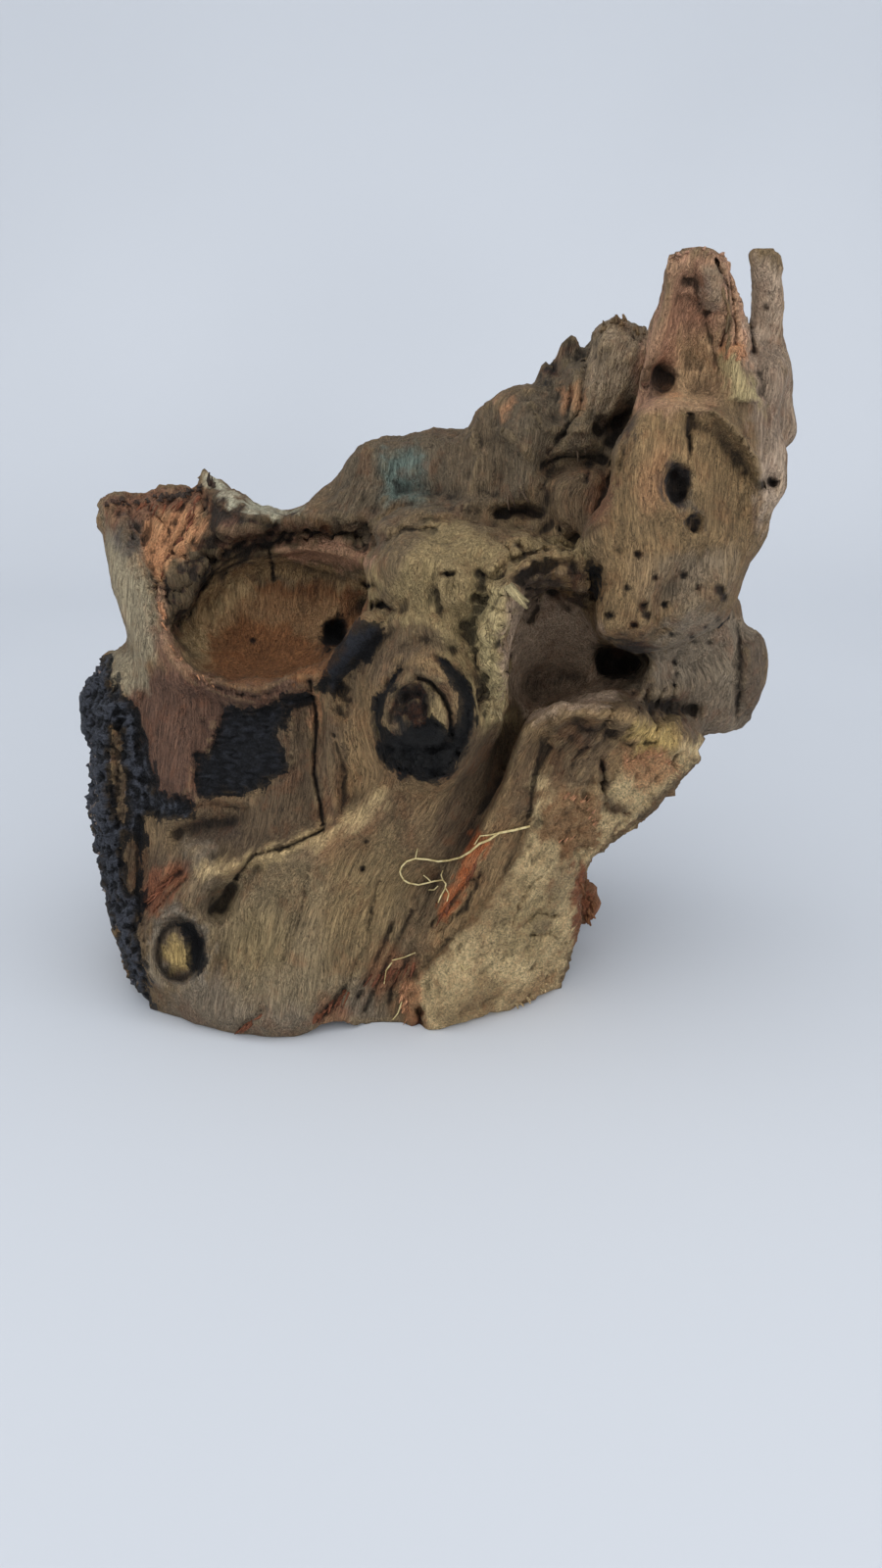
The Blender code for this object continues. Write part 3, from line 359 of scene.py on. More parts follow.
# Which way the fibres run, from the top down
FLOW = (
    ((400, 800), (340, 870), (290, 950), (262, 1040)), ((450, 850), (395, 930), (350, 1040)),
    ((300, 866), (246, 920), (222, 1030)), ((240, 876), (220, 905), (222, 980), (236, 1050)),
    ((170, 890), (146, 930), (142, 970), (160, 1030)), ((230, 700), (236, 780), (232, 850)),
    ((290, 700), (300, 780), (290, 850)), ((180, 700), (180, 800), (190, 860)),
    ((100, 690), (108, 800), (120, 900), (140, 990)),
    ((420, 650), (380, 690), (368, 740), (380, 800), (356, 850)),
    ((446, 650), (492, 690), (502, 740), (484, 800), (440, 860)),
    ((600, 640), (560, 720), (510, 800), (410, 1000)),
    ((620, 730), (560, 760), (530, 830), (480, 920), (430, 1010)),
    ((700, 770), (620, 850), (560, 940), (500, 1040)),
    ((560, 610), (556, 680), (530, 740)), ((520, 590), (500, 650), (500, 720)),
    ((420, 530), (396, 580), (404, 640)),
    ((470, 550), (440, 590), (438, 640)), ((490, 560), (490, 610), (470, 650)), ((430, 440), (440, 505)),
    ((520, 420), (524, 500)), ((600, 350), (590, 450)), ((590, 470), (570, 510), (586, 550)),
    ((660, 420), (650, 480), (640, 560), (630, 640)), ((700, 430), (672, 500), (690, 560), (670, 630)),
    ((730, 440), (724, 530), (700, 620)), ((700, 260), (690, 340), (670, 410)),
    ((740, 270), (745, 340), (750, 400)),
    ((780, 260), (782, 350), (790, 450), (786, 520)), ((700, 640), (720, 690), (700, 740)),
    ((200, 610), (220, 660), (240, 690)), ((300, 575), (300, 640), (290, 690)),
    ((360, 590), (345, 650), (324, 690)),
    ((115, 520), (135, 600), (150, 670)), ((206, 505), (180, 550), (160, 600)),
    ((150, 510), (142, 560), (150, 620)), ((386, 640), (356, 690), (340, 740)),
    ((350, 740), (352, 800), (330, 850)),
)
PLAIN_FLOW = (-0.32, 0.95)  # across and down, where no line is near
PLAIN_PULL = 1.0 / 60.0 ** 4  # how strongly the plain way counts beside the lines
FLOW_REACH = 60.0  # evens out the pull of the nearest lines, in square sheet points
FLOW_STEP = 14.0
FLOW_TURNS = 260
ROWS_AT_ONCE = 20000


def sight(across, down):
    """The direction in which the eye sees that place on the sheet."""
    right = (across - SHEET_MIDDLE[0]) / SIGHT_LENGTH
    drop = (down - SHEET_MIDDLE[1]) / SIGHT_LENGTH
    cos, sin = math.cos(LOOK_DOWN), math.sin(LOOK_DOWN)
    return Vector((right, cos - drop * sin, -sin - drop * cos)).normalized()


def seen_at(points):
    """Where on the sheet the eye sees each row of points."""
    away = points - np.array(EYE)
    cos, sin = math.cos(LOOK_DOWN), math.sin(LOOK_DOWN)
    ahead = away[:, 1] * cos - away[:, 2] * sin
    drop = -away[:, 1] * sin - away[:, 2] * cos
    sheet = np.stack([away[:, 0], drop], axis=1) / ahead[:, None]
    return sheet * SIGHT_LENGTH + np.array(SHEET_MIDDLE)


def to_eye(points):
    """The direction from each row of points to the eye."""
    away = np.array(EYE) - points
    return away / np.linalg.norm(away, axis=1)[:, None]


def walk(corners, step=5.0):
    """Points every few sheet points along an open line of corners."""
    line = np.array(corners, float)
    path = [line[0]]
    for a, b in zip(line[:-1], line[1:]):
        count = max(1, round(np.linalg.norm(b - a) / step))
        path += [a + (b - a) * i / count for i in range(1, count + 1)]
    return path


def depth_inside(sheet, outline):
    """How far inside an outline each sheet place lies, in sheet points, and less than 0 outside."""
    corners = np.array(outline, float)
    best = np.full(len(sheet), np.inf)
    inside = np.zeros(len(sheet), bool)
    for a, b in zip(corners, np.roll(corners, -1, axis=0)):
        edge = b - a
        along = np.clip(((sheet - a) @ edge) / (edge @ edge), 0, 1)
        best = np.minimum(best, np.linalg.norm(sheet - a - along[:, None] * edge, axis=1))
        crosses = (a[1] > sheet[:, 1]) != (b[1] > sheet[:, 1])
        rise = edge[1] if edge[1] else 1.0
        inside ^= crosses & (sheet[:, 0] < a[0] + (sheet[:, 1] - a[1]) * edge[0] / rise)
    return np.where(inside, best, -best)


def smooth_step(value, low, high):
    """0 up to the low value, 1 from the high value on, and a smooth rise between them."""
    t = np.clip((value - low) / (high - low), 0, 1)
    return t * t * (3 - 2 * t)


def only(obj):
    """Leaves this object alone selected and active."""
    bpy.ops.object.select_all(action="DESELECT")
    obj.select_set(True)
    bpy.context.view_layer.objects.active = obj


def applied(obj, kind, **settings):
    """Adds a modifier with these settings and applies it."""
    only(obj)
    modifier = obj.modifiers.new(kind.title(), kind)
    for name, value in settings.items():
        setattr(modifier, name, value)
    bpy.ops.object.modifier_apply(modifier=modifier.name)


def floats_of(mesh_items, name, width):
    """One row of numbers for each point of a mesh."""
    values = np.empty(len(mesh_items) * width)
    mesh_items.foreach_get(name, values)
    return values.reshape(-1, width)


def edges_of(mesh):
    """The numbers of each edge's two points."""
    pairs = np.empty(len(mesh.edges) * 2, int)
    mesh.edges.foreach_get("vertices", pairs)
    return pairs.reshape(-1, 2)


class Wood:
    """The wood's mesh as arrays, in millimetres."""

    def __init__(self, obj):
        self.obj = obj
        self.read()

    def read(self):
        self.points = floats_of(self.obj.data.vertices, "co", 3)
        self.normals = floats_of(self.obj.data.vertices, "normal", 3)
        self.tree = BVHTree.FromObject(self.obj, bpy.context.evaluated_depsgraph_get())

    def write(self):
        self.obj.data.vertices.foreach_set("co", self.points.ravel())
        self.obj.data.update()

    def renew(self):
        """Moves the mesh to the points and reads its new normals."""
        self.write()
        self.read()

    def touched(self, across, down):
        """Where the eye's ray through this place on the sheet first meets the wood, or None."""
        return self.tree.ray_cast(EYE, sight(across, down))[0]

    def near(self, path, reach):
        """The points in the box around a path, with this reach about it."""
        low, high = path.min(axis=0) - reach, path.max(axis=0) + reach
        return np.flatnonzero(((self.points > low) & (self.points < high)).all(axis=1))

    def brush(self, corners, radius, rise, steep_side):
        """Raises or presses in the surface along a line on the sheet."""
        hits = [self.touched(x, y) for x, y in walk(corners)]
        path = np.array([hit for hit in hits if hit is not None])
        if not len(path):
            return
        chosen = self.near(path, radius)
        points = self.points[chosen]
        gaps = np.linalg.norm(points[:, None] - path[None], axis=2)
        nearest = gaps.argmin(axis=1)
        share = gaps.min(axis=1) / radius
        if steep_side and len(path) > 1:
            sheet, line = seen_at(points), seen_at(path)
            heading = np.gradient(line, axis=0)[nearest]
            off = sheet - line[nearest]
            side = np.sign(heading[:, 0] * off[:, 1] - heading[:, 1] * off[:, 0])
            share = np.where(side == steep_side, share * 2.5, share)
        weight = np.clip(1 - share ** 2, 0, 1) ** 1.5
        self.points[chosen] += to_eye(points) * (weight * rise)[:, None]

    def pull(self, at, shift, reach, sharpness):
        """Draws the surface near a sheet place sideways or up, to a point where the sharpness is high."""
        hit = self.touched(*at)
        if hit is None:
            gap = np.linalg.norm(seen_at(self.points) - np.array(at), axis=1)
            hit = Vector(self.points[gap.argmin()])
        chosen = self.near(np.array([hit]), reach)
        away = np.linalg.norm(self.points[chosen] - np.array(hit), axis=1) / reach
        weight = np.clip(1 - away, 0, 1) ** sharpness
        weight = weight if sharpness > 1 else weight * weight * (3 - 2 * weight)
        scale = (hit - EYE).length / SIGHT_LENGTH
        sin, cos = math.sin(LOOK_DOWN), math.cos(LOOK_DOWN)
        across, down = shift
        self.points[chosen] += weight[:, None] * scale * np.array((across, -down * sin, -down * cos))

    def ring(self, middle, half_width, half_height, profile):
        """Turns a round profile about a place on the sheet."""
        centre = self.touched(*middle)
        reach = 1.5 * max(half_width, half_height) * (centre - EYE).length / SIGHT_LENGTH
        chosen = self.near(np.array([centre]), reach)
        points = self.points[chosen]
        sheet = (seen_at(points) - np.array(middle)) / np.array([half_width, half_height])
        shares, rises = zip(*profile)
        rise = np.interp(np.linalg.norm(sheet, axis=1), shares, rises, right=0.0)
        self.points[chosen] += to_eye(points) * rise[:, None]

    def hidden_by(self):
        """How far behind what the eye sees each point lies."""
        gap = np.empty(len(self.points))
        for i, point in enumerate(self.points):
            ray = Vector(point) - EYE
            hit = self.tree.ray_cast(EYE, ray.normalized())[3]
            gap[i] = ray.length - hit if hit else 0.0
        return gap


def noise_at(points, size, stretch=(1, 1, 1), kind="fractal", shift=0.0):
    """Noise of this grain size at each row of points, about -1 to 1."""
    spots = map(Vector, points / (np.array(stretch) * size) + shift)
    if kind == "plain":
        return np.array([noise.noise(spot) for spot in spots])
    if kind == "ridged":
        return np.array([1 - 2 * abs(noise.noise(spot)) for spot in spots])
    if kind == "cells":
        nearest = np.array([noise.voronoi(spot)[0][:2] for spot in spots])
        return nearest[:, 1] - nearest[:, 0]
    return np.array([noise.fractal(spot, 0.6, 2.0, 4) for spot in spots])


def fibre_heading(sheet):
    """The way of the fibres at each sheet place, drawn from the nearest flow lines."""
    spots = [np.array(walk(line, FLOW_STEP)) for line in FLOW]
    ways = [np.gradient(path, axis=0) for path in spots]
    spots = np.concatenate(spots)
    ways = np.concatenate([way / np.linalg.norm(way, axis=1)[:, None] for way in ways])
    heading = np.empty((len(sheet), 2))
    for start in range(0, len(sheet), ROWS_AT_ONCE):
        part = sheet[start:start + ROWS_AT_ONCE]
        pull = 1.0 / (((part[:, None] - spots[None]) ** 2).sum(axis=2) + FLOW_REACH) ** 2
        total = pull @ ways + PLAIN_PULL * np.array(PLAIN_FLOW)
        heading[start:start + ROWS_AT_ONCE] = total / (pull.sum(axis=1) + PLAIN_PULL)[:, None]
    return heading / (np.linalg.norm(heading, axis=1)[:, None] + 1e-9)


def relaxed(value, wanted, edges):
    """Values that rise along each edge as nearly as they can by what is wanted there."""
    a, b = edges[:, 0], edges[:, 1]
    count = len(value)

    def spread(rise):
        return np.bincount(b, rise, count) - np.bincount(a, rise, count)

    left = spread(wanted) - spread(value[b] - value[a])
    way = left.copy()
    size = left @ left
    for _ in range(FLOW_TURNS):
        pushed = spread(way[b] - way[a])
        share = size / (way @ pushed + 1e-12)
        value += share * way
        left -= share * pushed
        new_size = left @ left
        way = left + way * (new_size / size)
        size = new_size
    return value


def fibre_flow(wood, edges):
    """Two coordinates across the fibres and one along them, at each point.

    The first is relaxed until it rises by one millimetre for each millimetre across the fibres' lines.
    """
    behind = smooth_step(wood.normals[:, 1], 0.1, 0.6)[:, None]
    heading = fibre_heading(seen_at(wood.points)) * (1 - behind) + np.array(PLAIN_FLOW) * behind
    sin, cos = math.sin(LOOK_DOWN), math.cos(LOOK_DOWN)
    across = np.stack([heading[:, 1], heading[:, 0] * sin, heading[:, 0] * cos], axis=1)
    down = np.stack([heading[:, 0], -heading[:, 1] * sin, -heading[:, 1] * cos], axis=1)
    a, b = edges[:, 0], edges[:, 1]
    step = wood.points[b] - wood.points[a]
    flat = []
    for field, first_guess in ((across, (0.95, 0.12, 0.3)), (down, (-0.32, -0.35, -0.88))):
        wanted = (step * (field[a] + field[b]) / 2).sum(axis=1)
        flat.append(relaxed(wood.points @ np.array(first_guess), wanted, edges))
    deep = wood.points @ np.array((0.0, cos, -sin))
    return np.stack([flat[0], deep, flat[1]], axis=1)


def fine_wood():
    """A finer piece in the form of the part's own solid."""
    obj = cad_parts["driftwood"].copy()
    obj.data = obj.data.copy()
    bpy.context.scene.collection.objects.link(obj)
    obj.name = "weathered_wood"
    for key in list(obj.keys()):
        del obj[key]
    obj.parent = None
    obj.data.transform(Matrix.Scale(1 / MM, 4))
    only(obj)
    bpy.ops.object.mode_set(mode="EDIT")
    bpy.ops.mesh.select_all(action="SELECT")
    bpy.ops.mesh.remove_doubles(threshold=0.0005)
    bpy.ops.object.mode_set(mode="OBJECT")
    applied(obj, "REMESH", mode="VOXEL", voxel_size=ROUNDING_VOXEL)
    applied(obj, "SMOOTH", factor=0.5, iterations=ROUNDING_TURNS)
    applied(obj, "REMESH", mode="VOXEL", voxel_size=FINE_VOXEL)
    return obj


def shaped_wood():
    """The whole wood: crisper forms first, then folds, steps and rough skin."""
    obj = fine_wood()
    wood = Wood(obj)
    edges = edges_of(obj.data)
    bend = ((wood.points - averaged(wood.points, edges, CRISP_TURNS)) * wood.normals).sum(axis=1)
    wood.points += wood.normals * (CRISPNESS * bend)[:, None]
    for pull in PULLS:
        wood.pull(*pull)
    wood.renew()
    for stroke in RELIEF:
        wood.brush(*stroke)
    for turned in RINGED:
        wood.ring(*turned)
    wood.renew()
    cut_steps(wood)
    wood.renew()
    flow = fibre_flow(wood, edges)
    roughen(wood, flow)
    wood.renew()
    keep_flow(obj, flow)
    keep_bends(obj, wood, edges)
    thin_out(obj, wood)
    return obj


def cut_steps(wood):
    """Flat steps, creases and small pits, on what the eye sees."""
    sheet = seen_at(wood.points)
    seen = 1 - smooth_step(wood.hidden_by(), 2, 6)
    wobble = np.stack([noise_at(wood.points, 3.0), noise_at(wood.points, 3.0, shift=9.0)], axis=1)
    ragged = sheet + 2.5 * wobble
    rise = np.zeros(len(sheet))
    for height, soft, outline in PLATES:
        rows = within(sheet, outline, soft + 4)
        rise[rows] += height * smooth_step(depth_inside(ragged[rows], outline), -soft / 2, soft / 2)
    for half_width, depth, line in CREASES:
        rows = within(sheet, line, half_width + 4)
        rise[rows] -= depth * np.clip(1 - line_gap(ragged[rows], line) / half_width, 0, 1) ** 1.2
    for middle, radius, depth in PITS:
        rows = within(sheet, (middle,), 2 * radius)
        gap = np.linalg.norm(ragged[rows] - np.array(middle), axis=1) / radius
        rise[rows] += np.interp(gap, (0, 0.55, 1.0, 1.5), (-depth, -0.8 * depth, 0.12 * depth, 0))
    wood.points += to_eye(wood.points) * (rise * seen)[:, None]


def within(sheet, outline, margin):
    """The rows whose place on the sheet is in the outline's box or near it."""
    corners = np.array(outline, float)
    low, high = corners.min(axis=0) - margin, corners.max(axis=0) + margin
    return np.flatnonzero(((sheet > low) & (sheet < high)).all(axis=1))


def lift_of(kind, points, flow, sheet):
    """How high a broken place stands at each point, as a share of its own height."""
    if kind == "torn":
        return 0.9 * noise_at(flow, 3.6, (1, 1, 6), "ridged") + 0.6 * noise_at(points, 6.0)
    if kind == "craggy":
        return noise_at(flow, 7.0, (1, 1, 2.2), "ridged") + noise_at(points, 9.0) - 0.5
    if kind == "fissured":
        level = sheet @ np.array(((0.1, 0, 0), (0, 0, 0.3)))
        return 0.7 - 1.2 * noise_at(level, 1.6, kind="ridged")
    if kind == "burnt":
        moved = points + 1.5 * noise_at(points, 4.0)[:, None]
        lumps = np.minimum(noise_at(moved, 4.4, (1, 1, 1.4), "cells"), 0.45) - 0.5
        return lumps + 0.9 * noise_at(points, 5.0) + 0.4 * noise_at(points, 2.6, kind="ridged")
    return 0.7 * noise_at(points, 2.6) + 1.3 * noise_at(points, 8.0, kind="ridged")


def roughen(wood, flow):
    """Fibres over all of the wood, and the torn, craggy, fissured, burnt and grainy places."""
    sheet = seen_at(wood.points)
    behind = smooth_step(wood.normals[:, 1], -0.1, 0.5)
    rise = 0.24 * noise_at(flow, 3.0, (1, 1, 7)) + 0.14 * noise_at(flow, 1.6, (1, 1, 8), "ridged")
    rise *= 1 + 1.5 * behind
    rise += 0.6 * noise_at(flow, 9.0, (1, 1, 4)) * (0.35 + 1.4 * behind)
    for outline, kind, height in BROKEN:
        inside = smooth_step(depth_inside(sheet, outline), -4, 8) * (1 - behind)
        chosen = np.flatnonzero(inside > 0)
        lift = lift_of(kind, wood.points[chosen], flow[chosen], sheet[chosen])
        rise[chosen] += height * lift * inside[chosen]
    above_base = smooth_step(wood.points[:, 2], 0.3, 2.5)
    wood.points += wood.normals * (rise * above_base)[:, None]
    wood.points[:, 2] = np.maximum(wood.points[:, 2], 0.0)


def keep_flow(obj, flow):
    """Keeps the place along and across the fibres, in metres."""
    attribute = obj.data.attributes.new("flow", "FLOAT_VECTOR", "POINT")
    attribute.data.foreach_set("vector", (flow * MM).ravel())


def keep_bends(obj, wood, edges):
    """How far each point stands out from what lies close to it, and from what lies around it."""
    for name, turns, unit in BENDS:
        out = ((wood.points - averaged(wood.points, edges, turns)) * wood.normals).sum(axis=1)
        out = averaged(out[:, None], edges, 1)[:, 0]
        keep(obj, name, np.clip(out / unit, -2, 2))


def inside_box(points):
    """Points in millimetres, held in the part's own box."""
    low, high = (np.array(corner) / MM for corner in cad_box)
    return np.clip(points, low, high)


def thin_out(obj, wood):
    """Brings the wood down to its number of triangles and holds it in the part's box."""
    applied(obj, "TRIANGULATE", quad_method="BEAUTY")
    applied(obj, "DECIMATE", ratio=WOOD_TRIANGLES / len(obj.data.polygons))
    wood.read()
    wood.points = inside_box(wood.points)
    wood.write()


# What each patch of the surface looks like in daylight, in parts of 255
TONES = {
    "weathered": (92, 77, 58), "grey": (106, 97, 84), "peat": (70, 56, 43), "ridge": (80, 70, 56),
    "straw": (160, 138, 102), "amber": (118, 96, 68), "olive": (122, 106, 76), "bone": (146, 132, 98),
    "rust": (108, 72, 46), "torn orange": (162, 118, 86), "red fibre": (108, 66, 46), "teal": (76, 92, 86),
    # painted fill light: "cave" is far paler than the wood, for the cave's shaded wall
    "shell": (124, 114, 94), "cave": (147, 127, 108), "shadow": (34, 28, 23), "soot": (37, 37, 40),
    "pinkish": (148, 114, 92), "stain": (54, 44, 37), "yellow": (168, 144, 94), "cheek": (105, 86, 61),
    "tongue": (78, 57, 46), "side": (112, 100, 84), "column": (146, 128, 110), "deep": (74, 60, 45),
    # painted fill light: "bowl shade" is paler than the bowl's wood, for its shaded wall
    "bowl": (95, 65, 42), "bowl shade": (122, 95, 68),
    "burr": (92, 66, 52), "umber": (74, 61, 47), "dusk": (84, 69, 52), "fresh cut": (181, 160, 122),
    # painted shade: "crevice" is the dark of cracks, and is laid in pits and crevices
    "crevice": (24, 18, 13), "pitch": (19, 17, 15), "ash": (118, 122, 134), "dim ash": (66, 68, 76),
    "ember": (150, 84, 52), "pale shell": (154, 150, 130), "back ridge": (124, 108, 88),
}

